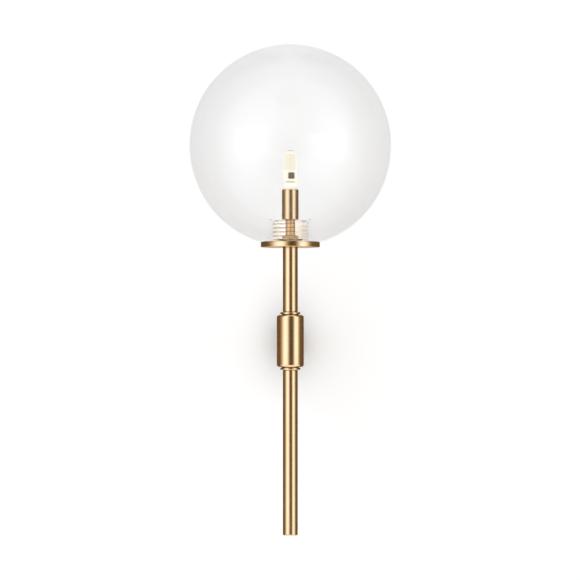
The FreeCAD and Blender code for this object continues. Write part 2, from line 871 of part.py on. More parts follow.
def make_lampholder_bracket(doc, s):
    # sheet ring on the stem with two upright ears, screwed to the ceramic's flats
    low = s.cup_bottom + s.cup_floor
    inner = s.holder_half_flat + s.bracket_gap
    outer = inner + s.bracket_sheet
    hole = s.stem_diameter / 2 + s.thread_clearance
    body = new_body(doc, "lampholder_bracket")
    base = sketch_on(body, "XY_Plane", low)
    circle(base, s.cup_diameter / 2 - s.cup_wall - s.bracket_rim_gap)
    circle(base, hole)
    pad(body, base, s.bracket_sheet)
    ears = sketch_on(body, "XY_Plane", low)
    for near, far in ((inner, outer), (-outer, -inner)):
        rectangle(ears, -s.bracket_width / 2, s.bracket_width / 2, near, far)
    pad(body, ears, s.bracket_height)
    holes = sketch_on(body, "XZ_Plane")
    circle(holes, s.bracket_screw_shank / 2 + s.thread_clearance, 0, s.bracket_screw_height)
    cut(body, holes, s.holder_diameter * THROUGH)
    return put(body, 0, -s.rod_standoff, 0)


def make_bracket_screws(doc, s):
    seat = s.holder_half_flat + s.bracket_gap + s.bracket_sheet
    screws = []
    for number, side in enumerate((-1, 1)):
        turn = FreeCAD.Rotation(FreeCAD.Vector(1, 0, 0), side * 90)
        place = side * seat - s.rod_standoff
        head = cylinder(doc, f"bracket_head_{number}", s.bracket_screw_head / 2,
                        s.bracket_screw_head_height, 0,
                        side * (seat + s.bracket_screw_head_height) - s.rod_standoff,
                        s.bracket_screw_height, turn)
        shank = cylinder(doc, f"bracket_shank_{number}", s.bracket_screw_shank / 2,
                         s.bracket_screw_length, 0, place, s.bracket_screw_height, turn)
        screws.append(joined(doc, f"bracket_screw_{number}", [head, shank]))
    return group(doc, "bracket_screws", screws)


# Bulb


def make_bulb_base(doc, s):
    outer = s.bulb_diameter / 2
    spigot = outer - s.bulb_wall - s.bulb_spigot_clearance
    low = s.bulb_bottom
    step = low + s.bulb_base_height
    high = step + s.bulb_spigot_height
    body = turned(doc, "bulb_base", [(0, low), (outer, low), (outer, step), (spigot, step),
                                     (spigot, high), (0, high)])
    seat = sketch_on(body, "XY_Plane", high)
    half_width = s.board_width / 2 + s.board_seat_clearance
    half_depth = s.board_thickness / 2 + s.board_seat_clearance
    rectangle(seat, -half_width, half_width, -half_depth, half_depth)
    cut(body, seat, s.board_seat * 2)
    return put(body, 0, -s.rod_standoff, 0)


def make_bulb_envelope(doc, s):
    # clear cap with rounded shoulders
    outer = s.bulb_diameter / 2
    inner = outer - s.bulb_wall
    low = s.bulb_bottom + s.bulb_base_height
    high = s.bulb_bottom + s.bulb_height
    body = turned(doc, "bulb_envelope", [(inner, low), (outer, low), (outer, high), (0, high),
                                         (0, high - s.bulb_wall), (inner, high - s.bulb_wall)])
    rounded(body, s.bulb_shoulder_radius, [(outer, high)])
    rounded(body, s.bulb_shoulder_radius - s.bulb_wall, [(inner, high - s.bulb_wall)])
    return put(body, 0, -s.rod_standoff, 0)


def make_bulb_board(doc, s):
    feature = box(doc, "bulb_board", s.board_width, s.board_thickness, s.board_top - s.board_bottom,
                  0, -s.rod_standoff, s.board_bottom)
    return feature


def make_light_panels(doc, s):
    # one luminous panel on each face of the board
    low = s.board_top - s.panel_top_gap - s.panel_height
    reach = (s.board_thickness + s.panel_thickness) / 2
    panels = [
        box(doc, f"panel_{number}", s.panel_width, s.panel_thickness, s.panel_height,
            0, -s.rod_standoff + side * reach, low)
        for number, side in enumerate((-1, 1))
    ]
    return group(doc, "light_panels", panels)


def make_driver_chip(doc, s):
    return box(doc, "driver_chip", s.chip_width, s.chip_thickness, s.chip_height, s.chip_offset,
               -s.rod_standoff - (s.board_thickness + s.chip_thickness) / 2,
               s.bulb_bottom + s.chip_bottom)


def make_small_components(doc, s):
    # a row of small parts on the board, under the chip
    along = -s.rod_standoff - (s.board_thickness + s.small_part_thickness) / 2
    low = s.bulb_bottom + s.small_part_bottom
    parts = [
        box(doc, f"small_part_{number}", s.small_part_width, s.small_part_thickness,
            s.small_part_height, (number - (SMALL_PARTS - 1) / 2) * s.small_part_pitch, along, low)
        for number in range(SMALL_PARTS)
    ]
    return group(doc, "small_components", parts)


def make_bulb_pins(doc, s):
    # two flat wire loops that hang from the base
    outer = s.pin_loop_width / 2
    inner = outer - s.pin_wire
    high = s.bulb_bottom
    turn_height = high - s.pin_length + outer
    pins = []
    for name, side in (("pin_left", -1), ("pin_right", 1)):
        middle = side * s.pin_spacing / 2
        body = new_body(doc, name)
        loop = sketch_on(body, "XZ_Plane")
        outline(loop, [(middle - outer, high), (middle - outer, turn_height),
                       (middle, turn_height - outer), (middle + outer, turn_height),
                       (middle + outer, high), (middle + inner, high),
                       (middle + inner, turn_height), (middle, turn_height - inner),
                       (middle - inner, turn_height), (middle - inner, high)],
                {1: outer, 2: outer, 6: -inner, 7: -inner})
        pad(body, loop, s.pin_wire, both_ways=True)
        pins.append(put(body, 0, -s.rod_standoff, 0))
    return group(doc, "bulb_pins", pins)


# Inner wiring


def rounded_route(points, radii):
    # straight runs joined by tangent arcs, one radius for each inner point
    edges = []
    last = points[0]
    for before, corner, after, radius in zip(points, points[1:], points[2:], radii):
        arriving = (corner - before).normalize()
        leaving = (after - corner).normalize()
        turn = arriving.getAngle(leaving)
        trim = radius * math.tan(turn / 2)
        start = corner - arriving * trim
        end = corner + leaving * trim
        inward = (leaving - arriving).normalize()
        middle = corner + inward * (radius / math.cos(turn / 2) - radius)
        edges.append(Part.LineSegment(last, start).toShape())
        edges.append(Part.Arc(start, middle, end).toShape())
        last = end
    edges.append(Part.LineSegment(last, points[-1]).toShape())
    return Part.Wire(edges)


def easy_radii(points, limits):
    # the largest arc that each corner's two runs leave room for, up to its limit
    radii = []
    for before, corner, after, limit in zip(points, points[1:], points[2:], limits):
        turn = (corner - before).getAngle(after - corner)
        shorter = min((corner - before).Length, (after - corner).Length)
        room = 0.45 * shorter / math.tan(turn / 2)
        radii.append(min(room, limit) if limit else room)
    return radii


def make_wire(doc, s, label, points, limits):
    # a round insulated wire along its route
    places = [FreeCAD.Vector(*(as_size(part).value for part in point)) for point in points]
    radii = easy_radii(places, limits)
    print(label, "bend radii", [round(radius, 1) for radius in radii])
    route = rounded_route(places, radii)
    start = FreeCAD.Placement(places[0], FreeCAD.Rotation(FreeCAD.Vector(0, 0, 1), places[1] - places[0]))
    ring = Part.makeCircle(s.wire_diameter.value / 2)
    ring.Placement = start
    solid = route.makePipeShell([Part.Wire([ring])], True, False)
    feature = doc.addObject("Part::Feature", label)
    feature.Label = label
    feature.Shape = solid
    expected = math.pi * s.wire_diameter.value**2 / 4 * route.Length
    print(label, "volume over section times length", round(solid.Volume / expected, 4))
    return feature


def make_lamp_wire(doc, s, label, side):
    # from one contact down the stem and rod, round the hub and along the arm to the block
    terminal = side * s.pin_spacing / 2
    inside = side * s.wire_pair_spacing / 2
    pole = side * s.block_pitch
    axis = -s.rod_standoff
    block_face = -s.block_setback - s.block_length
    points = [
        (terminal, axis, s.holder_bottom + s.wire_entry),
        (terminal, axis, s.holder_bottom - s.wire_entry),
        (inside, axis, s.cup_bottom + s.cup_floor + s.wire_entry),
        (inside, axis, 0),
        (inside, s.stem_back + s.wire_bend_radius / 2, 0),
        (pole, block_face - s.wire_bend_radius, s.pole_height),
        (pole, block_face + s.wire_entry * 2, s.pole_height),
    ]
    return make_wire(doc, s, label, points, [None, None, s.wire_bend_radius.value, None, None])


def make_earth_wire(doc, s):
    # from the crimp barrel of the lug along the arm to the middle pole
    block_face = -s.block_setback - s.block_length
    points = [
        (0, s.lug_back - s.wire_entry * 2, -s.lug_drop),
        (0, s.lug_back + s.wire_bend_radius / 2, -s.lug_drop),
        (0, block_face - s.wire_bend_radius, s.pole_height),
        (0, block_face + s.wire_entry * 2, s.pole_height),
    ]
    return make_wire(doc, s, "earth_wire", points, [None, None])


def add_places(s):
    # heights and offsets that follow from the sizes
    s.ring_end = s.hub_length / 2 + s.ring_neck_height + s.ring_bead_height
    s.plate_bottom = s.ring_end + s.upper_rod_length
    s.plate_top = s.plate_bottom + s.plate_thickness
    s.glass_foot = s.plate_top - s.seal_recess + s.seal_thickness
    s.globe_centre_drop = other_leg(s.globe_diameter / 2, s.globe_foot_radius)
    s.globe_centre = s.glass_foot + s.globe_centre_drop
    s.neck_top = s.glass_foot + s.neck_height
    s.cup_bottom = s.plate_top + s.collar_height + s.cup_gap
    s.cup_top = s.cup_bottom + s.cup_height
    s.holder_top = s.cup_top - s.holder_recess
    s.holder_bottom = s.holder_top - s.holder_height
    s.bracket_screw_height = s.holder_bottom + s.bracket_screw_drop
    s.bulb_bottom = s.cup_top + s.bulb_gap
    s.board_bottom = s.bulb_bottom + s.bulb_base_height + s.bulb_spigot_height - s.board_seat
    s.board_top = s.bulb_bottom + s.bulb_height - s.board_top_gap
    s.hub_bore_radius = s.hub_diameter / 2 - s.hub_wall
    s.arm_bore_radius = s.arm_diameter / 2 - s.arm_wall
    s.boss_radius = s.arm_bore_radius - s.boss_clearance
    s.grub_seat = s.arm_diameter / 2 - s.grub_sink - s.grub_length
    s.plug_back = -s.rod_standoff + s.hub_diameter / 2 + s.plug_setback + s.plug_thickness
    s.stem_back = s.plug_back + s.lug_sheet + s.nut_thickness + s.stem_proud
    s.wire_hole_radius = s.wire_diameter / 2 + s.thread_clearance
    s.lug_low = s.nut_across_flats / 2 + s.lug_nut_gap + s.lug_sheet
    s.lug_drop = s.lug_low - s.lug_sheet / 2 - (s.lug_barrel / 2 + s.wire_hole_radius) / 2
    s.lug_back = s.stem_back + s.lug_barrel_length
    s.block_width = (s.arm_bore_radius - s.block_side_gap) * 2
    s.block_pitch = s.block_width / 3
    s.block_bottom = -other_leg(s.arm_bore_radius, s.block_width / 2) + s.insert_clearance
    s.block_middle = s.block_setback + s.block_length / 2
    s.pole_height = s.block_bottom + s.block_height / 2


def make_parts(doc, s):
    return [
        make_wall_boss(doc, s),
        make_grub_screws(doc, s),
        make_arm_tube(doc, s),
        make_arm_plug(doc, s),
        make_arm_stem(doc, s),
        make_earth_lug(doc, s),
        make_terminal_block(doc, s),
        make_terminal_sleeves(doc, s),
        make_terminal_screws(doc, s),
        make_hub_body(doc, s),
        make_hub_base(doc, s),
        make_ring(doc, s, "upper_ring", 1),
        make_ring(doc, s, "lower_ring", -1),
        make_rod(doc, s, "upper_rod", s.ring_end, s.plate_bottom),
        make_rod(doc, s, "lower_rod", -s.ring_end - s.lower_rod_length, -s.ring_end),
        make_rod_inserts(doc, s),
        make_end_cap(doc, s),
        make_hub_stems(doc, s),
        make_gallery_stem(doc, s),
        make_lock_nuts(doc, s),
        make_gallery_plate(doc, s),
        make_globe_seal(doc, s),
        make_globe_glass(doc, s),
        make_screw_collar(doc, s),
        make_collar_washer(doc, s),
        make_socket_cup(doc, s),
        make_lampholder_body(doc, s),
        make_lampholder_contacts(doc, s),
        make_lampholder_bracket(doc, s),
        make_bracket_screws(doc, s),
        make_bulb_base(doc, s),
        make_bulb_envelope(doc, s),
        make_bulb_board(doc, s),
        make_light_panels(doc, s),
        make_driver_chip(doc, s),
        make_small_components(doc, s),
        make_bulb_pins(doc, s),
        make_lamp_wire(doc, s, "live_wire", -1),
        make_lamp_wire(doc, s, "neutral_wire", 1),
        make_earth_wire(doc, s),
    ]


def check_and_write(doc, parts):
    doc.recompute()
    for item in doc.Objects:
        if "Invalid" in item.State or "Error" in item.State:
            raise ValueError(f"{item.Label} failed: {item.State}")
    for part in parts:
        if part.Shape.isNull() or not part.Shape.isValid():
            raise ValueError(f"{part.Label} has no valid shape")
    os.makedirs("parts", exist_ok=True)
    for part in parts:
        part.Shape.exportStep(f"parts/{part.Label}.step")
    print(len(parts), "nodes written")


document = FreeCAD.newDocument("globe_wall_sconce")
sizes = Sizes(document, SIZES)
add_places(sizes)
check_and_write(document, make_parts(document, sizes))
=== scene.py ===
import json
from math import atan2, hypot, pi, radians, sin, sqrt, tau

import bmesh
import bpy
from mathutils import Matrix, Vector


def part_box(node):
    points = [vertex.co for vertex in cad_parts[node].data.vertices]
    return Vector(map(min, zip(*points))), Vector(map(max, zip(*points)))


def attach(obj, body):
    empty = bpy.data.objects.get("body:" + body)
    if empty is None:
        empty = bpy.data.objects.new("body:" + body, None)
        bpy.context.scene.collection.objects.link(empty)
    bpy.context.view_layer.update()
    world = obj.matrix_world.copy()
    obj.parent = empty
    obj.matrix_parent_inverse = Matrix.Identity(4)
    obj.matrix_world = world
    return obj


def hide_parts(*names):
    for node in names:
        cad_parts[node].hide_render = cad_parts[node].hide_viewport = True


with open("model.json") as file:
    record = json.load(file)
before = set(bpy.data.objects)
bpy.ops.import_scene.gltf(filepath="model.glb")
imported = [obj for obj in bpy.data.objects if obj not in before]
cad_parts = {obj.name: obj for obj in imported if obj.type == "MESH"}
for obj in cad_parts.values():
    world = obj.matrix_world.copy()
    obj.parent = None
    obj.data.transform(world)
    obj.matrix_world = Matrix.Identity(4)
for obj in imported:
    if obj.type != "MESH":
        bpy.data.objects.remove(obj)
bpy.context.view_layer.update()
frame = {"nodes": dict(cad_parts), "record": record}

# Globe wall sconce: a clear globe on a brass gallery, held off a wall by a round arm.
# Sizes in the dictionaries are millimetres, save those of brass, backdrop, shade and flags, which are metres.
# Heights and outer radii come from the CAD nodes.
mm = 0.001
rodY = -115.0
bpy.context.scene.view_settings.view_transform = "Standard"


def low(node):
    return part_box(node)[0].z / mm


def high(node):
    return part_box(node)[1].z / mm


def reach(node):
    # radius of a round node about the rod's line
    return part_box(node)[1].x / mm


# finishes: node helpers first

def newFinish(name):
    finish = bpy.data.materials.new(name)
    finish.use_nodes = True
    tree = finish.node_tree
    tree.nodes.clear()
    out = tree.nodes.new("ShaderNodeOutputMaterial")
    return finish, tree, out


def addNode(tree, kind, **settings):
    node = tree.nodes.new(kind)
    for name, value in settings.items():
        setattr(node, name, value)
    return node


def join(tree, source, target):
    tree.links.new(source, target)


def reckon(tree, operation, first, second=None, third=None):
    # one step of arithmetic on sockets or numbers
    node = addNode(tree, "ShaderNodeMath", operation=operation)
    for index, amount in enumerate((first, second, third)):
        if amount is None:
            continue
        if isinstance(amount, (int, float)):
            node.inputs[index].default_value = amount
        else:
            join(tree, amount, node.inputs[index])
    return node.outputs[0]


def spread(tree, value, fromLow, fromHigh, toLow, toHigh, smooth=False):
    node = addNode(tree, "ShaderNodeMapRange")
    if smooth:
        node.interpolation_type = "SMOOTHSTEP"
    limits = {"From Min": fromLow, "From Max": fromHigh, "To Min": toLow, "To Max": toHigh}
    for name, amount in limits.items():
        node.inputs[name].default_value = amount
    join(tree, value, node.inputs["Value"])
    return node.outputs["Result"]


def ownCoordinates(tree, scale=(1, 1, 1), centre=(0, 0, 0)):
    # the piece's own place in metres, centred and stretched
    place = addNode(tree, "ShaderNodeTexCoord")
    shift = addNode(tree, "ShaderNodeVectorMath", operation="SUBTRACT")
    shift.inputs[1].default_value = centre
    join(tree, place.outputs["Object"], shift.inputs[0])
    stretch = addNode(tree, "ShaderNodeVectorMath", operation="MULTIPLY")
    stretch.inputs[1].default_value = scale
    join(tree, shift.outputs[0], stretch.inputs[0])
    return stretch.outputs[0]


def cloud(tree, coordinates, size, detail=3.0, roughness=0.5):
    node = addNode(tree, "ShaderNodeTexNoise")
    node.inputs["Scale"].default_value = size
    node.inputs["Detail"].default_value = detail
    node.inputs["Roughness"].default_value = roughness
    join(tree, coordinates, node.inputs["Vector"])
    return node.outputs["Fac"]


def twoTones(tree, share, dark, light):
    node = addNode(tree, "ShaderNodeMix", data_type="RGBA")
    join(tree, share, node.inputs[0])
    node.inputs[6].default_value = (*dark, 1)
    node.inputs[7].default_value = (*light, 1)
    return node.outputs[2]


def rampOf(tree, value, colours):
    # colours by place along a ramp from 0 to 1
    ramp = addNode(tree, "ShaderNodeValToRGB")
    stops = ramp.color_ramp.elements
    stops.remove(stops[1])
    for number, (place, colour) in enumerate(colours):
        stop = stops[0] if number == 0 else stops.new(place)
        stop.position = place
        stop.color = (*colour, 1)
    join(tree, value, ramp.inputs["Fac"])
    return ramp.outputs["Color"]


def dimmed(tree, colour, share):
    node = addNode(tree, "ShaderNodeVectorMath", operation="SCALE")
    join(tree, colour, node.inputs[0])
    join(tree, share, node.inputs["Scale"])
    return node.outputs[0]


def stained(tree, colour, stain):
    node = addNode(tree, "ShaderNodeVectorMath", operation="MULTIPLY")
    join(tree, colour, node.inputs[0])
    join(tree, stain, node.inputs[1])
    return node.outputs[0]


def lengthOf(tree, coordinates):
    node = addNode(tree, "ShaderNodeVectorMath", operation="LENGTH")
    join(tree, coordinates, node.inputs[0])
    return node.outputs["Value"]


def heightOf(tree, coordinates):
    node = addNode(tree, "ShaderNodeSeparateXYZ")
    join(tree, coordinates, node.inputs[0])
    return node.outputs["Z"]


def relief(tree, height, strength, distance):
    node = addNode(tree, "ShaderNodeBump")
    node.inputs["Strength"].default_value = strength
    node.inputs["Distance"].default_value = distance
    join(tree, height, node.inputs["Height"])
    return node.outputs["Normal"]


def turnedAway(tree):
    # 0 where the surface faces the eye, 1 where it is edge on
    node = addNode(tree, "ShaderNodeLayerWeight")
    node.inputs["Blend"].default_value = 0.5
    return node.outputs["Facing"]


def added(tree, first, second):
    total = addNode(tree, "ShaderNodeAddShader")
    join(tree, first, total.inputs[0])
    join(tree, second, total.inputs[1])
    return total.outputs[0]


def chosen(tree, share, first, second):
    # the first shader at a share of 0, the second at 1
    node = addNode(tree, "ShaderNodeMixShader")
    for index, source in enumerate((share, first, second)):
        join(tree, source, node.inputs[index])
    return node.outputs[0]


def throughGlass(tree):
    # 1 for what the camera sees straight or through clear glass
    rays = addNode(tree, "ShaderNodeLightPath")
    turns = reckon(tree, "ADD", rays.outputs["Glossy Depth"], rays.outputs["Diffuse Depth"])
    straight = reckon(tree, "LESS_THAN", turns, 0.5)
    seen = reckon(tree, "MULTIPLY", rays.outputs["Is Transmission Ray"], straight)
    return reckon(tree, "MAXIMUM", rays.outputs["Is Camera Ray"], seen)


brass = {
    "light": (0.940, 0.725, 0.445),
    "dark": (0.905, 0.685, 0.400),
    "edgeTint": (0.97, 0.86, 0.70),
    "smoothest": 0.195,
    "roughest": 0.215,
    "cloudSize": 26.0,
    "lineDepth": 0.000002,
    "lineStrength": 0.25,
    "lineShare": 0.3,
    # painted shade in the brass's corners and crevices: the shade's colour, then the reach, range and samples
    # of the occlusion that places it
    "cornerShade": (0.17, 0.11, 0.06),
    "cornerShadeReach": 0.0022,
    "cornerShadeRange": (0.25, 0.8),
    "cornerShadeSamples": 6,
}


def satinBrass(name, lines=(60, 60, 5200), rougher=0.0, paintCornerShade=True):
    # satin brass, brushed in fine lines along the axes with a small stretch, with painted shade that darkens
    # its corners and crevices
    finish, tree, out = newFinish(name)
    shader = addNode(tree, "ShaderNodeBsdfPrincipled")
    shader.inputs["Metallic"].default_value = 1.0
    shader.inputs["Specular Tint"].default_value = (*brass["edgeTint"], 1)
    axis = (0, rodY * mm, 0)
    tone = cloud(tree, ownCoordinates(tree, centre=axis), brass["cloudSize"], 3.0, 0.5)
    brushing = cloud(tree, ownCoordinates(tree, lines, axis), 1.0, 2.0, 0.6)
    share = brass["lineShare"]
    mixed = reckon(tree, "MULTIPLY_ADD", brushing, share, reckon(tree, "MULTIPLY", tone, 1 - share))
    tones = twoTones(tree, spread(tree, mixed, 0.35, 0.65, 0, 1), brass["dark"], brass["light"])
    if paintCornerShade:
        # painted shade: the base colour darkens towards the shade colour where ambient occlusion finds
        # corners and crevices
        corners = addNode(tree, "ShaderNodeAmbientOcclusion", samples=brass["cornerShadeSamples"])
        corners.inputs["Distance"].default_value = brass["cornerShadeReach"]
        openness = spread(tree, corners.outputs["AO"], *brass["cornerShadeRange"], 0, 1)
        tones = stained(tree, tones, twoTones(tree, openness, brass["cornerShade"], (1, 1, 1)))
    join(tree, tones, shader.inputs["Base Color"])
    join(tree, spread(tree, mixed, 0.3, 0.7, brass["roughest"] + rougher, brass["smoothest"] + rougher),
         shader.inputs["Roughness"])
    join(tree, relief(tree, brushing, brass["lineStrength"], brass["lineDepth"]), shader.inputs["Normal"])
    join(tree, shader.outputs[0], out.inputs["Surface"])
    return finish


# share of light let through at each surface, by how far it turns from the eye (0 faces it, 1 is edge on)
clearness = {
    "globe": [(0, 0.960), (0.056, 0.950), (0.17, 0.937), (0.25, 0.931), (0.31, 0.922), (0.4, 0.908),
              (0.53, 0.879), (0.72, 0.874), (0.78, 0.873), (1.0, 0.872)],
    "inside": [(0, 0.99), (0.9, 0.985), (1.0, 0.97)],
    "neck": [(0, 0.995), (0.5, 0.985), (0.8, 0.96), (1.0, 0.90)],
    "collar": [(0, 0.995), (0.5, 0.985), (0.8, 0.965), (1.0, 0.92)],
    "bulb": [(0, 0.99), (0.5, 0.98), (0.85, 0.965), (1.0, 0.95)],
    "seal": [(0, 0.90), (0.5, 0.84), (1.0, 0.7)],
}


def clearTint(tree, kind, tint=(1, 1, 1)):
    # the light let through, by how far the surface turns from the eye
    colours = [(place, [share * part for part in tint]) for place, share in clearness[kind]]
    return rampOf(tree, turnedAway(tree), colours)


def faintly(tree, colour, amount, scale):
    # slow faint unevenness of blown or moulded glass
    swell = cloud(tree, ownCoordinates(tree, scale), 1.0, 3.0, 0.5)
    return dimmed(tree, colour, spread(tree, swell, 0.3, 0.7, 1.0 - amount, 1.0 + amount))


# painted shade on the upper side of a clear thread, where it turns light away: the slopes where the shade
# starts and is full, and the shade's colour
threadShade = {"slopes": (0.12, 0.5), "tint": (0.36, 0.29, 0.23)}


def shadeThread(tree, colour):
    side = addNode(tree, "ShaderNodeNewGeometry")
    # painted shade: slopes that face upwards are tinted darker
    slope = spread(tree, heightOf(tree, side.outputs["Normal"]), *threadShade["slopes"], 0, 1)
    return stained(tree, colour, twoTones(tree, slope, (1, 1, 1), threadShade["tint"]))


edgeGain = 1.7  # how much more clear stuff mirrors where it is edge on


def sheenOf(tree, mirror):
    # the room shows softly in the surface, more where it turns from the eye
    sheen = addNode(tree, "ShaderNodeBsdfGlossy")
    sheen.inputs["Roughness"].default_value = 0.0
    join(tree, spread(tree, turnedAway(tree), 0, 1, mirror, mirror * edgeGain), sheen.inputs["Color"])
    return sheen.outputs[0]


def passThrough(tree, colour, bend):
    # thick clear stuff that bends light a little, but lets the lamps' light in without shade
    thick = addNode(tree, "ShaderNodeBsdfRefraction")
    thick.inputs["Roughness"].default_value = 0.0
    thick.inputs["IOR"].default_value = bend
    join(tree, colour, thick.inputs["Color"])
    thin = addNode(tree, "ShaderNodeBsdfTransparent")
    join(tree, colour, thin.inputs["Color"])
    rays = addNode(tree, "ShaderNodeLightPath")
    return chosen(tree, rays.outputs["Is Shadow Ray"], thick.outputs[0], thin.outputs[0])


def clearFinish(name, kind, tint, mirror, bend, glow, threaded=False):
    # clear moulded plastic with a little of the lamp's light scattered in it
    finish, tree, out = newFinish(name)
    colour = faintly(tree, clearTint(tree, kind, tint), 0.006, (90, 90, 90))
    if threaded:
        colour = shadeThread(tree, colour)
    lit = addNode(tree, "ShaderNodeEmission")
    lit.inputs["Color"].default_value = (*glow, 1)
    lit.inputs["Strength"].default_value = 1.0
    surface = added(tree, passThrough(tree, colour, bend), sheenOf(tree, mirror))
    join(tree, added(tree, surface, lit.outputs[0]), out.inputs["Surface"])
    return finish


# middle parts the outer face from the inner one, and neckRadius and neckTall hold the neck
blown = {
    "radius": 100.0,
    "middle": 98.7,
    "mirror": 0.027,
    "unevenness": 0.004,
    "neckBend": 1.004,
    "neckRadius": 23.0,
    "neckTall": 24.0,
}


def blownGlass(name):
    # the globe: thin clear glass whose edge shows grey, with a pressed neck of thicker glass
    finish, tree, out = newFinish(name)
    foot, top = low("globe_glass"), high("globe_glass")
    centre = (0, rodY * mm, (top - blown["radius"]) * mm)
    fromCentre = lengthOf(tree, ownCoordinates(tree, centre=centre))
    outside = reckon(tree, "GREATER_THAN", fromCentre, blown["middle"] * mm)
    wall = addNode(tree, "ShaderNodeMix", data_type="RGBA")
    join(tree, outside, wall.inputs[0])
    join(tree, clearTint(tree, "inside"), wall.inputs[6])
    join(tree, clearTint(tree, "globe"), wall.inputs[7])
    passing = addNode(tree, "ShaderNodeBsdfTransparent")
    join(tree, faintly(tree, wall.outputs[2], blown["unevenness"], (9, 9, 14)), passing.inputs["Color"])
    ball = added(tree, passing.outputs[0], sheenOf(tree, blown["mirror"]))
    neckColour = faintly(tree, clearTint(tree, "neck"), 0.006, (60, 60, 90))
    neck = added(tree, passThrough(tree, neckColour, blown["neckBend"]), sheenOf(tree, blown["mirror"]))
    fromAxis = lengthOf(tree, ownCoordinates(tree, (1, 1, 0), centre))
    nearAxis = reckon(tree, "LESS_THAN", fromAxis, blown["neckRadius"] * mm)
    lowDown = reckon(tree, "LESS_THAN", heightOf(tree, ownCoordinates(tree)), (foot + blown["neckTall"]) * mm)
    join(tree, chosen(tree, reckon(tree, "MULTIPLY", nearAxis, lowDown), ball, neck), out.inputs["Surface"])
    return finish


def steelFinish(name, dark, light, roughness, spangle=900.0):
    # zinc-plated or bright steel with a faint spangle
    finish, tree, out = newFinish(name)
    shader = addNode(tree, "ShaderNodeBsdfPrincipled")
    shader.inputs["Metallic"].default_value = 1.0
    grain = cloud(tree, ownCoordinates(tree), spangle, 3.0, 0.6)
    patch = cloud(tree, ownCoordinates(tree), spangle / 9, 2.0, 0.5)
    join(tree, twoTones(tree, patch, dark, light), shader.inputs["Base Color"])
    join(tree, spread(tree, grain, 0.3, 0.7, roughness + 0.06, roughness - 0.04), shader.inputs["Roughness"])
    join(tree, relief(tree, grain, 0.15, 0.00003), shader.inputs["Normal"])
    join(tree, shader.outputs[0], out.inputs["Surface"])
    return finish


def mouldedFinish(name, dark, light, roughness, size=350.0, depth=0.00002, glow=0.0):
    # moulded plastic, rubber or ceramic with fine unevenness, and a glow where the lamp shines through it
    finish, tree, out = newFinish(name)
    shader = addNode(tree, "ShaderNodeBsdfPrincipled")
    grain = cloud(tree, ownCoordinates(tree), size, 4.0, 0.55)
    fine = cloud(tree, ownCoordinates(tree), size * 6, 2.0, 0.5)
    colour = twoTones(tree, spread(tree, grain, 0.3, 0.7, 0, 1), dark, light)
    join(tree, colour, shader.inputs["Base Color"])
    join(tree, colour, shader.inputs["Emission Color"])
    shader.inputs["Emission Strength"].default_value = glow
    join(tree, spread(tree, fine, 0.3, 0.7, roughness - 0.05, roughness + 0.06), shader.inputs["Roughness"])
    join(tree, relief(tree, fine, 0.3, depth), shader.inputs["Normal"])
    join(tree, shader.outputs[0], out.inputs["Surface"])
    return finish


def glowFinish(name, edge, middle, strength):
    # the luminous panels: cream phosphor that gives a soft light of its own
    finish, tree, out = newFinish(name)
    shader = addNode(tree, "ShaderNodeBsdfPrincipled")
    grain = cloud(tree, ownCoordinates(tree), 900.0, 3.0, 0.5)
    colour = twoTones(tree, spread(tree, grain, 0.3, 0.7, 0, 1), edge, middle)
    join(tree, colour, shader.inputs["Base Color"])
    join(tree, colour, shader.inputs["Emission Color"])
    shader.inputs["Emission Strength"].default_value = strength
    shader.inputs["Roughness"].default_value = 0.45
    join(tree, shader.outputs[0], out.inputs["Surface"])
    return finish


finishes = {
    "arm_brass": satinBrass("armBrass", (900, 20, 900)),
    "hub_brass": satinBrass("hubBrass"),
    "ring_brass": satinBrass("ringBrass", rougher=0.02),
    "rod_brass": satinBrass("rodBrass", (3000, 3000, 18)),
    "plate_brass": satinBrass("plateBrass", paintCornerShade=False),
    "cup_brass": satinBrass("cupBrass", rougher=0.02),
    "stem_brass": satinBrass("stemBrass", rougher=0.1, paintCornerShade=False),
    "zinc_steel": steelFinish("zincSteel", (0.55, 0.56, 0.57), (0.72, 0.73, 0.74), 0.32),
    "clear_collar": clearFinish("clearCollar", "collar", (1.0, 0.985, 0.96), 0.03, 1.01,
                                (0.050, 0.043, 0.032), threaded=True),
    "globe_glass": blownGlass("blownGlass"),
    "seal_rubber": clearFinish("clearSeal", "seal", (0.97, 0.95, 0.92), 0.02, 1.0, (0, 0, 0)),
    "ceramic": mouldedFinish("ceramicHolder", (0.78, 0.76, 0.72), (0.86, 0.84, 0.80), 0.35),
    "block_plastic": mouldedFinish("blockPlastic", (0.72, 0.73, 0.74), (0.80, 0.81, 0.82), 0.45),
    "bulb_clear": clearFinish("bulbClear", "bulb", (1.0, 0.995, 0.98), 0.015, 1.01,
                              (0.036, 0.035, 0.027)),
    "bulb_plastic": mouldedFinish("bulbPlastic", (0.95, 0.90, 0.78), (0.98, 0.93, 0.82), 0.4, glow=0.42),
    "board": mouldedFinish("whiteBoard", (0.93, 0.88, 0.76), (0.96, 0.92, 0.82), 0.4, 500.0, glow=0.3),
    "phosphor": glowFinish("phosphor", (0.93, 0.90, 0.78), (0.96, 0.93, 0.82), 0.05),
    "chip_black": mouldedFinish("chipResin", (0.040, 0.036, 0.024), (0.075, 0.068, 0.048), 0.42, 900.0),
    "component": mouldedFinish("componentBodies", (0.09, 0.075, 0.055), (0.16, 0.135, 0.10), 0.4, 900.0),
    "pin_metal": steelFinish("tinnedPins", (0.66, 0.66, 0.65), (0.80, 0.80, 0.79), 0.25),
    "brown_wire": mouldedFinish("brownWire", (0.16, 0.07, 0.03), (0.20, 0.09, 0.04), 0.4),
    "blue_wire": mouldedFinish("blueWire", (0.02, 0.09, 0.30), (0.03, 0.12, 0.36), 0.4),
    "green_wire": mouldedFinish("greenWire", (0.05, 0.25, 0.06), (0.08, 0.32, 0.08), 0.4),
}
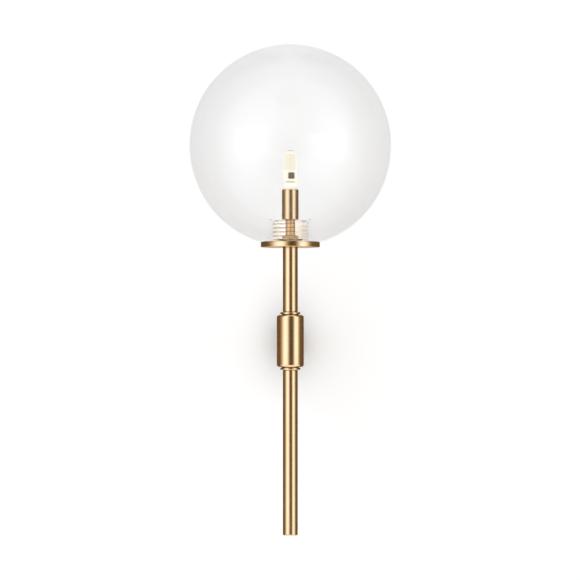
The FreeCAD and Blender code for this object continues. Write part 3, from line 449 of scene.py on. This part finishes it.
print("finishes made:", len(finishes))

# every CAD node takes the finish of its slot in the record
subparts = frame["record"]["subparts"]
for entry in subparts:
    for place in frame["nodes"][entry["node"]].material_slots:
        place.material = finishes[entry["material_slot"]]
print("nodes finished:", len(subparts))


# modelling helpers, all in millimetres about the rod's line until a piece is set in place

def sectionOf(corners, closed=True):
    # a half-section of (radius, height) corners
    bm = bmesh.new()
    points = [bm.verts.new((radius, 0, height)) for radius, height in corners]
    for start, end in zip(points, points[1:]):
        bm.edges.new((start, end))
    if closed:
        bm.edges.new((points[-1], points[0]))
    return bm


def turn(bm, steps=96):
    # spin the half-section all the way round
    bmesh.ops.spin(bm, geom=bm.verts[:] + bm.edges[:], cent=(0, 0, 0), axis=(0, 0, 1), angle=tau,
                   steps=steps, use_merge=True)
    bmesh.ops.remove_doubles(bm, verts=bm.verts[:], dist=0.0005)
    bmesh.ops.recalc_face_normals(bm, faces=bm.faces[:])


def ringsAt(bm, radius, height, near=0.02):
    return [edge for edge in bm.edges if all(
        abs(hypot(point.co.x, point.co.y) - radius) < near and abs(point.co.z - height) < near
        for point in edge.verts)]


def roundEdges(bm, edges, size, segments):
    bmesh.ops.bevel(bm, geom=edges, offset=size, offset_type="OFFSET", segments=segments,
                    profile=0.5, affect="EDGES", material=-1, clamp_overlap=True)


def roundRing(bm, radius, height, size, segments):
    # round an edge that runs all the way round
    roundEdges(bm, ringsAt(bm, radius, height), size, segments)


def block(width, depth, tall, x, y, z, soften=0.0):
    # a box by its middle, with its edges softened
    bm = bmesh.new()
    bmesh.ops.create_cube(bm, size=1.0)
    bmesh.ops.scale(bm, verts=bm.verts[:], vec=(width, depth, tall))
    bmesh.ops.translate(bm, verts=bm.verts[:], vec=(x, y, z))
    if soften:
        roundEdges(bm, bm.edges[:], soften, 2)
    return bm


def gather(shapes):
    # several shapes in one bmesh
    whole = bmesh.new()
    for shape in shapes:
        mesh = bpy.data.meshes.new("part")
        shape.to_mesh(mesh)
        shape.free()
        whole.from_mesh(mesh)
        bpy.data.meshes.remove(mesh)
    return whole


def setPiece(bm, name, body, slot, replaced=(), sharp=35):
    # from millimetres about the rod's line to the frame, riding on its body
    bmesh.ops.scale(bm, verts=bm.verts[:], vec=(mm, mm, mm))
    bmesh.ops.translate(bm, verts=bm.verts[:], vec=(0, rodY * mm, 0))
    mesh = bpy.data.meshes.new(name)
    bm.to_mesh(mesh)
    bm.free()
    mesh.shade_smooth()
    mesh.set_sharp_from_angle(angle=radians(sharp))
    mesh.materials.append(finishes[slot])
    piece = bpy.data.objects.new(name, mesh)
    bpy.context.scene.collection.objects.link(piece)
    even = piece.modifiers.new("evenShading", "WEIGHTED_NORMAL")  # long walls keep straight reflections
    even.keep_sharp = True
    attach(piece, body)
    if replaced:
        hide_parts(*replaced)
    return piece


hub = {"edge": 2.4, "wall": 2.5, "end": 4.0, "bore": 5.05, "innerEdge": 0.3}


def makeHub():
    radius, bottom, top = reach("hub_body"), low("hub_body"), high("hub_body")
    inside = radius - hub["wall"]
    bm = sectionOf([(hub["bore"], top), (radius, top), (radius, bottom), (inside, bottom),
                    (inside, top - hub["end"]), (hub["bore"], top - hub["end"])])
    turn(bm)
    roundRing(bm, radius, top, hub["edge"], 6)
    roundRing(bm, radius, bottom, hub["edge"], 6)
    roundRing(bm, hub["bore"], top, hub["innerEdge"], 2)
    roundRing(bm, inside, bottom, hub["innerEdge"], 2)
    setPiece(bm, "hubBarrel", "fixture", "hub_brass", ["hub_body"], 50)


ring = {"bead": 0.6, "groove": 0.7, "gap": 0.5, "neck": 1.7, "gapDepth": 3.0, "bore": 5.05}


def makeRing(node, name, side):
    # a round bead between a neck on the hub and a fine gap under the rod
    radius = reach(node)
    near, far = (low(node), high(node)) if side > 0 else (high(node), low(node))
    neck, throat = radius - ring["neck"], radius - ring["gapDepth"]
    start, end = near + side * ring["groove"], far - side * ring["gap"]
    bm = sectionOf([(ring["bore"], near), (neck, near), (neck, start), (radius, start), (radius, end),
                    (throat, end), (throat, far), (ring["bore"], far)])
    turn(bm)
    roundRing(bm, radius, start, ring["bead"], 5)
    roundRing(bm, radius, end, ring["bead"], 5)
    setPiece(bm, name, "fixture", "ring_brass", [node], 50)


rod = {"wall": 1.3, "edge": 0.25}


def makeRod(node, name):
    radius, bottom, top = reach(node), low(node), high(node)
    inside = radius - rod["wall"]
    bm = sectionOf([(inside, bottom), (radius, bottom), (radius, top), (inside, top)])
    turn(bm)
    for height in (bottom, top):
        roundRing(bm, radius, height, rod["edge"], 2)
    setPiece(bm, name, "fixture", "rod_brass", [node])


endCap = {"lip": 1.2, "plugGap": 1.35, "edge": 0.9, "seam": 0.12, "plugEdge": 0.5}


def makeEndCap():
    radius, bottom, top = reach("rod_end_cap"), low("rod_end_cap"), high("rod_end_cap")
    lip = bottom + endCap["lip"]
    plug = radius - endCap["plugGap"]
    bm = sectionOf([(0, bottom), (radius, bottom), (radius, lip), (plug, lip), (plug, top), (0, top)],
                   closed=False)
    turn(bm)
    roundRing(bm, radius, bottom, endCap["edge"], 4)
    roundRing(bm, radius, lip, endCap["seam"], 2)
    roundRing(bm, plug, top, endCap["plugEdge"], 2)
    setPiece(bm, "rodEndCap", "fixture", "rod_brass", ["rod_end_cap"])


plate = {
    "edge": 0.45,
    "bore": 5.05,
    "channel": 0.5,
    "channelIn": 21.7,
    "channelOut": 27.8,
    "channelEdge": 0.15,
    "roundSteps": 144,
}


def makeGalleryPlate():
    # thick turned disc with a shallow channel for the seal
    radius, bottom, top = reach("gallery_plate"), low("gallery_plate"), high("gallery_plate")
    floor = top - plate["channel"]
    bm = sectionOf([(plate["bore"], bottom), (radius, bottom), (radius, top), (plate["channelOut"], top),
                    (plate["channelOut"], floor), (plate["channelIn"], floor), (plate["channelIn"], top),
                    (plate["bore"], top)])
    turn(bm, plate["roundSteps"])
    roundRing(bm, radius, bottom, plate["edge"], 3)
    roundRing(bm, radius, top, plate["edge"], 3)
    roundRing(bm, plate["channelOut"], top, plate["channelEdge"], 2)
    roundRing(bm, plate["channelIn"], top, plate["channelEdge"], 2)
    setPiece(bm, "galleryPlate", "fixture", "plate_brass", ["gallery_plate"])


seal = {"inner": 22.0, "edge": 0.25, "roundSteps": 128}


def makeSeal():
    radius, bottom, top = reach("globe_seal"), low("globe_seal"), high("globe_seal")
    bm = sectionOf([(seal["inner"], bottom), (radius, bottom), (radius, top), (seal["inner"], top)])
    turn(bm, seal["roundSteps"])
    for side in (seal["inner"], radius):
        for height in (bottom, top):
            roundRing(bm, side, height, seal["edge"], 3)
    setPiece(bm, "clearSeal", "seal", "seal_rubber", ["globe_seal"], 60)


thread = {"pitch": 4.0, "depth": 0.3, "start": 99.0, "rings": 16, "steepness": 2.4}


def threadAt(x, y, z):
    # how far a right-handed thread stands out at a place, from -1 to 1, with flat crests
    turns = (z - thread["start"]) / thread["pitch"] - atan2(y, x) / tau
    return max(-1.0, min(1.0, thread["steepness"] * sin(tau * turns)))


def cutThread(bm, radius, bottom, top, run):
    # the thread stands out from one round wall and dies away over a short run at each end
    for point in bm.verts:
        if abs(hypot(point.co.x, point.co.y) - radius) > 0.01 or not bottom < point.co.z < top:
            continue
        fade = max(0.0, min(1.0, (point.co.z - bottom) / run, (top - point.co.z) / run))
        grown = 1 + thread["depth"] * fade * threadAt(point.co.x, point.co.y, point.co.z) / radius
        point.co.x *= grown
        point.co.y *= grown


def wallSteps(radius, start, end, step):
    # corners up or down a straight wall, close enough for a thread
    count = max(1, round(abs(end - start) / step))
    return [(radius, start + (end - start) * place / count) for place in range(count + 1)]


collar = {
    "radius": 17.35,
    "bore": 12.5,
    "hole": 5.05,
    "floor": 2.0,
    "plainTop": 0.9,
    "plainFoot": 1.2,
    "threadRun": 1.6,
    "rim": 0.5,
    "floorEdge": 0.8,
    "roundSteps": 128,
}


def makeScrewCollar():
    # clear cup with an outside thread that the globe's neck screws on to
    bottom, top = low("screw_collar"), high("screw_collar")
    outer, floor = collar["radius"], bottom + collar["floor"]
    threadLow, threadHigh = bottom + collar["plainFoot"], top - collar["plainTop"]
    step = thread["pitch"] / thread["rings"]
    bm = sectionOf([(collar["hole"], bottom), (outer, bottom)] + wallSteps(outer, threadLow, threadHigh, step)
                   + [(outer, top), (collar["bore"], top), (collar["bore"], floor), (collar["hole"], floor)])
    turn(bm, collar["roundSteps"])
    roundRing(bm, outer, top, collar["rim"], 3)
    roundRing(bm, collar["bore"], top, collar["rim"], 3)
    roundRing(bm, collar["bore"], floor, collar["floorEdge"], 3)
    cutThread(bm, outer, threadLow, threadHigh, collar["threadRun"])
    setPiece(bm, "screwCollar", "fixture", "clear_collar", ["screw_collar"], 60)


globe = {
    "wall": 2.5,
    "footRadius": 31.0,
    "neckTall": 22.0,
    "neckBore": 18.1,
    "neckOuter": 21.5,
    "fold": 3.0,
    "mouth": 3.0,
    "neckFoot": 3.2,
    "lip": 1.5,
    "threadAboveMouth": 0.8,
    "threadBelowLip": 0.6,
    "threadRun": 2.0,
    "arcSteps": 120,
    "roundSteps": 180,
}


def arcFrom(bm, start, centreHeight, steps):
    # a quarter and more of a circle, from a point up to the pole
    angle = atan2(start.co.z - centreHeight, start.co.x)
    bmesh.ops.spin(bm, geom=[start], cent=(0, 0, centreHeight), axis=(0, -1, 0), angle=pi / 2 - angle,
                   steps=steps)


def makeGlobe():
    # one blown wall: down the ball to a pressed foot, in under it, and up again as the neck
    foot, top = low("globe_glass"), high("globe_glass")
    neckTop = foot + globe["neckTall"]
    radius, inner = blown["radius"], blown["radius"] - globe["wall"]
    centre = top - radius
    floor = foot + globe["wall"]
    floorRadius = sqrt(inner ** 2 - (centre - floor) ** 2)
    bore, neck = globe["neckBore"], globe["neckOuter"]
    step = thread["pitch"] / thread["rings"]
    threadLow = foot + globe["mouth"] + globe["threadAboveMouth"]
    threadHigh = neckTop - globe["lip"] - globe["threadBelowLip"]
    bm = sectionOf([(floorRadius, floor), (neck, floor), (neck, neckTop), (bore, neckTop)]
                   + wallSteps(bore, threadHigh, threadLow, step)
                   + [(bore, foot), (globe["footRadius"], foot)], closed=False)
    bm.verts.ensure_lookup_table()
    first, last = bm.verts[0], bm.verts[-1]
    arcFrom(bm, last, centre, globe["arcSteps"])
    arcFrom(bm, first, centre, globe["arcSteps"])
    for point in bm.verts:
        if abs(point.co.x) < 0.01:
            point.co.x = 0
    turn(bm, globe["roundSteps"])
    roundRing(bm, globe["footRadius"], foot, globe["fold"], 6)
    roundRing(bm, floorRadius, floor, globe["fold"], 6)
    roundRing(bm, bore, foot, globe["mouth"], 6)
    roundRing(bm, neck, floor, globe["neckFoot"], 6)
    roundRing(bm, neck, neckTop, globe["lip"], 5)
    roundRing(bm, bore, neckTop, globe["lip"], 5)
    cutThread(bm, bore, threadLow, threadHigh, globe["threadRun"])
    setPiece(bm, "globeGlass", "globe", "globe_glass", ["globe_glass"], 70)


cup = {"wall": 1.0, "floor": 3.0, "rim": 0.3, "foot": 0.35, "hole": 5.05}


def makeCup():
    # drawn brass cup that hides the lampholder
    radius, bottom, top = reach("socket_cup"), low("socket_cup"), high("socket_cup")
    inside, floor = radius - cup["wall"], bottom + cup["floor"]
    bm = sectionOf([(cup["hole"], bottom), (radius, bottom), (radius, top), (inside, top), (inside, floor),
                    (cup["hole"], floor)])
    turn(bm)
    roundRing(bm, radius, bottom, cup["foot"], 3)
    roundRing(bm, radius, top, cup["rim"], 3)
    roundRing(bm, inside, top, cup["rim"], 2)
    setPiece(bm, "socketCup", "fixture", "cup_brass", ["socket_cup"])


stem = {
    "bore": 3.75,
    "pitch": 1.0,
    "depth": 0.22,
    "rings": 6,
    "threadFrom": 103.0,
    "plainTop": 0.5,
    "roundSteps": 48,
}


def makeGalleryStem():
    # hollow stem with a fine thread where it shows through the collar
    radius, bottom, top = reach("gallery_stem") - stem["depth"], low("gallery_stem"), high("gallery_stem")
    threadLow, threadHigh = stem["threadFrom"], top - stem["plainTop"]
    step = stem["pitch"] / stem["rings"]
    bm = sectionOf([(radius, bottom)] + wallSteps(radius, threadLow, threadHigh, step)
                   + [(radius, top), (stem["bore"], top), (stem["bore"], bottom)])
    turn(bm, stem["roundSteps"])
    for point in bm.verts:
        onWall = abs(hypot(point.co.x, point.co.y) - radius) <= 0.01
        if onWall and threadLow < point.co.z < threadHigh:
            turns = point.co.z / stem["pitch"] - atan2(point.co.y, point.co.x) / tau
            grown = 1 + stem["depth"] * sin(tau * turns) / radius
            point.co.x *= grown
            point.co.y *= grown
    setPiece(bm, "galleryStem", "fixture", "stem_brass", ["gallery_stem"], 80)


arm = {"wall": 1.5, "edge": 0.3, "cope": 2.0}


def makeArm():
    # round tube along the wall's normal, its front end shaped to the hub's barrel
    radius = reach("arm_tube")
    hubRadius = reach("hub_body")
    inside = radius - arm["wall"]
    wallFace, front = -rodY, hubRadius - arm["cope"]
    bm = sectionOf([(inside, wallFace), (radius, wallFace), (radius, front), (inside, front)])
    turn(bm)
    roundRing(bm, radius, wallFace, arm["edge"], 2)
    bmesh.ops.rotate(bm, verts=bm.verts[:], cent=(0, 0, 0), matrix=Matrix.Rotation(-pi / 2, 3, "X"))
    for point in bm.verts:
        if abs(point.co.y - front) < 0.01:
            point.co.y = sqrt(hubRadius ** 2 - point.co.x ** 2)
    setPiece(bm, "armTube", "fixture", "arm_brass", ["arm_tube"])


envelope = {"wall": 0.8, "shoulder": 4.3, "drop": 0.7, "crown": 3.0, "crownDrop": 0.12, "crownEdge": 1.5}


def makeBulbEnvelope():
    # clear cap with rounded shoulders and a slightly raised crown
    radius, bottom, top = reach("bulb_envelope"), low("bulb_envelope"), high("bulb_envelope")
    wall, crown = envelope["wall"], envelope["crown"]
    inside = radius - wall
    crownTop, shoulderTop = top - envelope["crownDrop"], top - envelope["drop"]
    bm = sectionOf([(0, top), (crown, crownTop), (radius, shoulderTop), (radius, bottom), (inside, bottom),
                    (inside, shoulderTop - wall), (crown, crownTop - wall), (0, top - wall)], closed=False)
    turn(bm)
    roundRing(bm, radius, shoulderTop, envelope["shoulder"], 8)
    roundRing(bm, inside, shoulderTop - wall, envelope["shoulder"] - wall, 8)
    roundRing(bm, crown, crownTop, envelope["crownEdge"], 3)
    setPiece(bm, "bulbEnvelope", "bulb", "bulb_clear", ["bulb_envelope"], 60)


bulbFoot = {"spigotGap": 0.1, "edge": 0.6, "rim": 0.15, "spigotEdge": 0.3}


def makeBulbBase():
    # moulded cream foot with a rim and a spigot that the envelope fits over
    radius, bottom, top = reach("bulb_base"), low("bulb_base"), high("bulb_base")
    step = low("bulb_envelope")
    spigot = radius - envelope["wall"] - bulbFoot["spigotGap"]
    bm = sectionOf([(0, bottom), (radius, bottom), (radius, step), (spigot, step), (spigot, top), (0, top)],
                   closed=False)
    turn(bm)
    roundRing(bm, radius, bottom, bulbFoot["edge"], 3)
    roundRing(bm, radius, step, bulbFoot["rim"], 2)
    roundRing(bm, spigot, top, bulbFoot["spigotEdge"], 2)
    setPiece(bm, "bulbBase", "bulb", "bulb_plastic", ["bulb_base"])


def aboutRod(node):
    # a node's box in millimetres about the rod's line: middle and size
    lowest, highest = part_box(node)
    middle = [(a + b) / 2 / mm for a, b in zip(lowest, highest)]
    size = [(b - a) / mm for a, b in zip(lowest, highest)]
    middle[1] -= rodY
    return middle, size


board = {"corner": 1.6, "cornerSteps": 5}


def makeBoard():
    # the bulb's board, its upper corners rounded to follow the cap
    middle, size = aboutRod("bulb_board")
    bm = block(*size, *middle)
    top = middle[2] + size[2] / 2
    corners = [edge for edge in bm.edges if all(
        abs(point.co.z - top) < 0.01 and abs(abs(point.co.x) - size[0] / 2) < 0.01 for point in edge.verts)
        and abs(edge.verts[0].co.x - edge.verts[1].co.x) < 0.01]
    roundEdges(bm, corners, board["corner"], board["cornerSteps"])
    setPiece(bm, "bulbBoard", "bulb", "board", ["bulb_board"])


strip = {"gap": 0.45, "edge": 0.25}


def makePanels():
    # two luminous strips side by side on each face of the board
    middle, size = aboutRod("light_panels")
    boardDeep = aboutRod("bulb_board")[1][1]
    thick = (size[1] - boardDeep) / 2
    wide = (size[0] - strip["gap"]) / 2
    strips = []
    for face in (-1, 1):
        for side in (-1, 1):
            strips.append(block(wide, thick, size[2], side * (wide + strip["gap"]) / 2,
                                face * (boardDeep + thick) / 2, middle[2], strip["edge"]))
    setPiece(gather(strips), "lightPanels", "bulb", "phosphor", ["light_panels"])


chip = {
    "edge": 0.25,
    "legs": 3,
    "legWide": 0.7,
    "legLong": 0.9,
    "legThick": 0.25,
    "legEdge": 0.06,
    "legRise": 0.16,
    "tuck": 0.05,
}


def makeChip():
    # driver chip with softened edges, and a row of tinned legs at each side
    middle, size = aboutRod("driver_chip")
    setPiece(block(*size, *middle, chip["edge"]), "driverChip", "bulb", "chip_black", ["driver_chip"])
    back = middle[1] + size[1] / 2 - chip["legRise"]
    legs = []
    for side in (-1, 1):
        across = middle[0] + side * (size[0] / 2 + chip["legLong"] / 2 - chip["tuck"])
        for number in range(chip["legs"]):
            height = middle[2] + (number - (chip["legs"] - 1) / 2) * size[2] / chip["legs"]
            legs.append(block(chip["legLong"], chip["legThick"], chip["legWide"], across, back, height,
                              chip["legEdge"]))
    setPiece(gather(legs), "chipLegs", "bulb", "pin_metal")


# endDeep and endTall are shares of the body's size
smallPart = {
    "count": 4,
    "wide": 1.6,
    "edge": 0.08,
    "end": 0.35,
    "endEdge": 0.07,
    "endDeep": 0.96,
    "endTall": 1.04,
}


def makeSmallParts():
    # a plain row of chip resistors and capacitors, each with two tinned ends
    middle, size = aboutRod("small_components")
    count, wide, end = smallPart["count"], smallPart["wide"], smallPart["end"]
    pitch = (size[0] - wide) / (count - 1)
    bodies, ends = [], []
    for number in range(count):
        across = middle[0] + (number - (count - 1) / 2) * pitch
        bodies.append(block(wide - end * 2, size[1], size[2], across, middle[1], middle[2],
                            smallPart["edge"]))
        for side in (-1, 1):
            ends.append(block(end, size[1] * smallPart["endDeep"], size[2] * smallPart["endTall"],
                              across + side * (wide - end) / 2, middle[1], middle[2], smallPart["endEdge"]))
    setPiece(gather(bodies), "smallParts", "bulb", "component", ["small_components"])
    setPiece(gather(ends), "smallPartEnds", "bulb", "pin_metal")


makeHub()
makeRing("upper_ring", "upperRing", 1)
makeRing("lower_ring", "lowerRing", -1)
makeRod("upper_rod", "upperRod")
makeRod("lower_rod", "lowerRod")
makeEndCap()
makeArm()
print("hub, rings, rods and arm made")
makeGalleryPlate()
makeSeal()
makeScrewCollar()
makeGlobe()
print("gallery and globe made")
makeCup()
makeGalleryStem()
makeBulbBase()
makeBulbEnvelope()
makeBoard()
makePanels()
makeChip()
makeSmallParts()
print("cup and bulb made")

# camera, light and backdrop

view = {
    "distance": 2200.0,
    "height": 20.0,
    "across": -0.3,
    "frameWidth": 574.8,
    "frameMiddle": 50.5,
    "sensor": 36.0,
}


def placeCamera():
    lens = bpy.data.cameras.new("frontCamera")
    camera = bpy.data.objects.new("frontCamera", lens)
    bpy.context.scene.collection.objects.link(camera)
    camera.location = (view["across"] * mm, (rodY - view["distance"]) * mm, view["height"] * mm)
    camera.rotation_euler = (radians(90), 0, 0)
    lens.sensor_width = view["sensor"]
    lens.lens = view["sensor"] * view["distance"] / view["frameWidth"]
    lens.shift_y = (view["frameMiddle"] - view["height"]) / view["frameWidth"]
    lens.clip_end = 30.0
    bpy.context.scene.camera = camera


# the room's light by bearing: degrees round from the front, and its colour there
studio = {
    "brightest": 1.6,
    "bearings": [
        (-180, (0.20, 0.15, 0.10)), (-98, (0.22, 0.14, 0.08)), (-86, (0.34, 0.23, 0.15)),
        (-74, (0.62, 0.47, 0.38)), (-63, (1.02, 0.97, 1.00)), (-51, (1.28, 1.38, 1.50)),
        (-32, (1.30, 1.40, 1.55)), (-23, (1.08, 1.06, 1.12)), (-15, (0.62, 0.50, 0.40)),
        (-7, (0.20, 0.13, 0.07)), (1, (0.08, 0.05, 0.024)), (16, (0.065, 0.042, 0.020)),
        (23, (0.14, 0.10, 0.06)), (30, (0.55, 0.48, 0.40)), (37, (1.05, 1.05, 1.06)),
        (44, (1.28, 1.38, 1.45)), (59, (1.28, 1.38, 1.46)), (67, (1.05, 1.04, 1.04)),
        (74, (0.70, 0.60, 0.50)), (83, (0.36, 0.26, 0.18)), (93, (0.10, 0.062, 0.034)),
        (180, (0.20, 0.15, 0.10)),
    ],
    "glassHeight": (-0.92, -0.12, 0.18, 0.95),
    "glassRest": 0.14,
}


def lightStudio():
    # two tall soft lamps in front, to the left and right, in a dim warm room
    world = bpy.data.worlds.new("softStudio")
    bpy.context.scene.world = world
    world.use_nodes = True
    tree = world.node_tree
    tree.nodes.clear()
    out = addNode(tree, "ShaderNodeOutputWorld")
    direction = addNode(tree, "ShaderNodeTexCoord")
    axes = addNode(tree, "ShaderNodeSeparateXYZ")
    join(tree, direction.outputs["Generated"], axes.inputs[0])
    bearing = reckon(tree, "ARCTAN2", axes.outputs["X"], reckon(tree, "MULTIPLY", axes.outputs["Y"], -1.0))
    # a ramp holds colours up to 1, so they are divided by the brightest and scaled up again
    brightest = studio["brightest"]
    colours = [(degrees / 360 + 0.5, [part / brightest for part in colour])
               for degrees, colour in studio["bearings"]]
    room = addNode(tree, "ShaderNodeVectorMath", operation="SCALE")
    join(tree, rampOf(tree, spread(tree, bearing, -pi, pi, 0, 1), colours), room.inputs[0])
    room.inputs["Scale"].default_value = brightest
    # clear glass mirrors a neutral room whose lamps fade upwards and downwards
    start, full, fall, end = studio["glassHeight"]
    height = reckon(tree, "MULTIPLY", spread(tree, axes.outputs["Z"], start, full, 0, 1, smooth=True),
                    spread(tree, axes.outputs["Z"], fall, end, 1, 0, smooth=True))
    grey = addNode(tree, "ShaderNodeSeparateColor")
    join(tree, room.outputs[0], grey.inputs[0])
    mirrored = reckon(tree, "MULTIPLY_ADD", grey.outputs["Green"], height, studio["glassRest"])
    rays = addNode(tree, "ShaderNodeLightPath")
    indoor = addNode(tree, "ShaderNodeMix", data_type="RGBA")
    join(tree, rays.outputs["Is Singular Ray"], indoor.inputs[0])
    join(tree, room.outputs[0], indoor.inputs[6])
    join(tree, mirrored, indoor.inputs[7])
    shown = addNode(tree, "ShaderNodeMix", data_type="RGBA")
    join(tree, throughGlass(tree), shown.inputs[0])
    join(tree, indoor.outputs[2], shown.inputs[6])
    shown.inputs[7].default_value = (1, 1, 1, 1)
    glow = addNode(tree, "ShaderNodeBackground")
    join(tree, shown.outputs[2], glow.inputs["Color"])
    join(tree, glow.outputs[0], out.inputs["Surface"])


# lift brightens the wall for the camera, and floorLift what lies below for the brass
backdrop = {
    "halfWidth": 2.6,
    "top": 2.4,
    "floor": -0.8,
    "reach": -2.8,
    "curve": 0.25,
    "curveSteps": 16,
    "paint": (0.90, 0.907, 0.902),
    "paintSpread": 0.004,
    "lift": 0.465,
    "floorLift": 0.5,
    "below": -0.3,
}
shade = {"middle": (-0.002, 0, -0.001), "tall": 1.6, "near": 0.0150, "fade": 0.0165, "depth": 0.368}


def wallFinish():
    # matt white paint, seen only from the front
    finish, tree, out = newFinish("whiteWall")
    shader = addNode(tree, "ShaderNodeBsdfDiffuse")
    grain = cloud(tree, ownCoordinates(tree), 60.0, 3.0, 0.5)
    paint, differ = backdrop["paint"], backdrop["paintSpread"]
    tones = twoTones(tree, grain, [part - differ for part in paint], [part + differ for part in paint])
    # a soft tall shade where the arm meets the wall
    fromArm = lengthOf(tree, ownCoordinates(tree, (1, 0, 1 / shade["tall"]), shade["middle"]))
    away = reckon(tree, "MAXIMUM", reckon(tree, "SUBTRACT", fromArm, shade["near"]), 0.0)
    fading = reckon(tree, "EXPONENT", reckon(tree, "DIVIDE", away, -shade["fade"]))
    bright = reckon(tree, "SUBTRACT", 1.0, reckon(tree, "MULTIPLY", fading, shade["depth"]))
    join(tree, dimmed(tree, tones, bright), shader.inputs["Color"])
    seen = reckon(tree, "MULTIPLY", throughGlass(tree), bright)
    # brass shows the pale floor too
    rays = addNode(tree, "ShaderNodeLightPath")
    brassOnly = reckon(tree, "SUBTRACT", rays.outputs["Is Glossy Ray"], rays.outputs["Is Singular Ray"])
    onFloor = reckon(tree, "LESS_THAN", heightOf(tree, ownCoordinates(tree)), backdrop["below"])
    mirrored = reckon(tree, "MULTIPLY", reckon(tree, "MAXIMUM", brassOnly, 0.0), onFloor)
    lift = addNode(tree, "ShaderNodeEmission")
    join(tree, reckon(tree, "MULTIPLY_ADD", mirrored, backdrop["floorLift"],
                      reckon(tree, "MULTIPLY", seen, backdrop["lift"])), lift.inputs["Strength"])
    front = added(tree, shader.outputs[0], lift.outputs[0])
    behind = addNode(tree, "ShaderNodeBsdfTransparent")
    side = addNode(tree, "ShaderNodeNewGeometry")
    join(tree, chosen(tree, side.outputs["Backfacing"], front, behind.outputs[0]), out.inputs["Surface"])
    return finish


def standObject(bm, name, finish):
    # a stage piece, which isn't part of the object
    mesh = bpy.data.meshes.new(name)
    bm.to_mesh(mesh)
    bm.free()
    mesh.materials.append(finish)
    stand = bpy.data.objects.new(name, mesh)
    bpy.context.scene.collection.objects.link(stand)
    return stand


def standBackdrop():
    # the wall behind and the floor below, joined by a curve
    bm = bmesh.new()
    top, floor, curve = backdrop["top"], backdrop["floor"], backdrop["curve"]
    start = bm.verts.new((-backdrop["halfWidth"], 0, top))
    last = bm.verts.new((-backdrop["halfWidth"], 0, floor + curve))
    bm.edges.new((start, last))
    arc = bmesh.ops.spin(bm, geom=[last], cent=(0, -curve, floor + curve), axis=(1, 0, 0), angle=-pi / 2,
                         steps=backdrop["curveSteps"])
    tip = [item for item in arc["geom_last"] if isinstance(item, bmesh.types.BMVert)][0]
    edge = bm.verts.new((-backdrop["halfWidth"], backdrop["reach"], floor))
    bm.edges.new((tip, edge))
    across = bmesh.ops.extrude_edge_only(bm, edges=bm.edges[:])
    moved = [item for item in across["geom"] if isinstance(item, bmesh.types.BMVert)]
    bmesh.ops.translate(bm, verts=moved, vec=(2 * backdrop["halfWidth"], 0, 0))
    bmesh.ops.recalc_face_normals(bm, faces=bm.faces[:])
    wall = max(bm.faces, key=lambda face: face.calc_center_median().z)
    if wall.normal.y > 0:
        bmesh.ops.reverse_faces(bm, faces=bm.faces[:])
    stand = standObject(bm, "backdrop", wallFinish())
    stand.data.shade_smooth()


flags = {"near": 0.045, "far": 2.5, "low": -1.6, "high": 1.9, "gap": 0.002, "tone": (0.15, 0.10, 0.06)}


def standFlags():
    # a dark card on each side against the wall, seen only in reflections
    finish, tree, out = newFinish("darkCard")
    shader = addNode(tree, "ShaderNodeEmission")
    grain = cloud(tree, ownCoordinates(tree), 4.0, 2.0, 0.5)
    tone = flags["tone"]
    join(tree, twoTones(tree, grain, [part * 0.9 for part in tone], [part * 1.1 for part in tone]),
         shader.inputs["Color"])
    clear = addNode(tree, "ShaderNodeBsdfTransparent")
    join(tree, chosen(tree, throughGlass(tree), shader.outputs[0], clear.outputs[0]), out.inputs["Surface"])
    near, far, lowest, highest = flags["near"], flags["far"], flags["low"], flags["high"]
    for side in (-1, 1):
        bm = bmesh.new()
        bmesh.ops.create_grid(bm, x_segments=1, y_segments=1, size=0.5)
        bmesh.ops.scale(bm, verts=bm.verts[:], vec=(far - near, highest - lowest, 1))
        bmesh.ops.rotate(bm, verts=bm.verts[:], cent=(0, 0, 0), matrix=Matrix.Rotation(pi / 2, 3, "X"))
        middle = (side * (near + far) / 2, -flags["gap"], (lowest + highest) / 2)
        bmesh.ops.translate(bm, verts=bm.verts[:], vec=middle)
        card = standObject(bm, "darkCard" + ("Left" if side < 0 else "Right"), finish)
        card.visible_camera = False
        card.visible_diffuse = False
        card.visible_shadow = False


placeCamera()
lightStudio()
standBackdrop()
standFlags()
print("camera, light and backdrop placed")
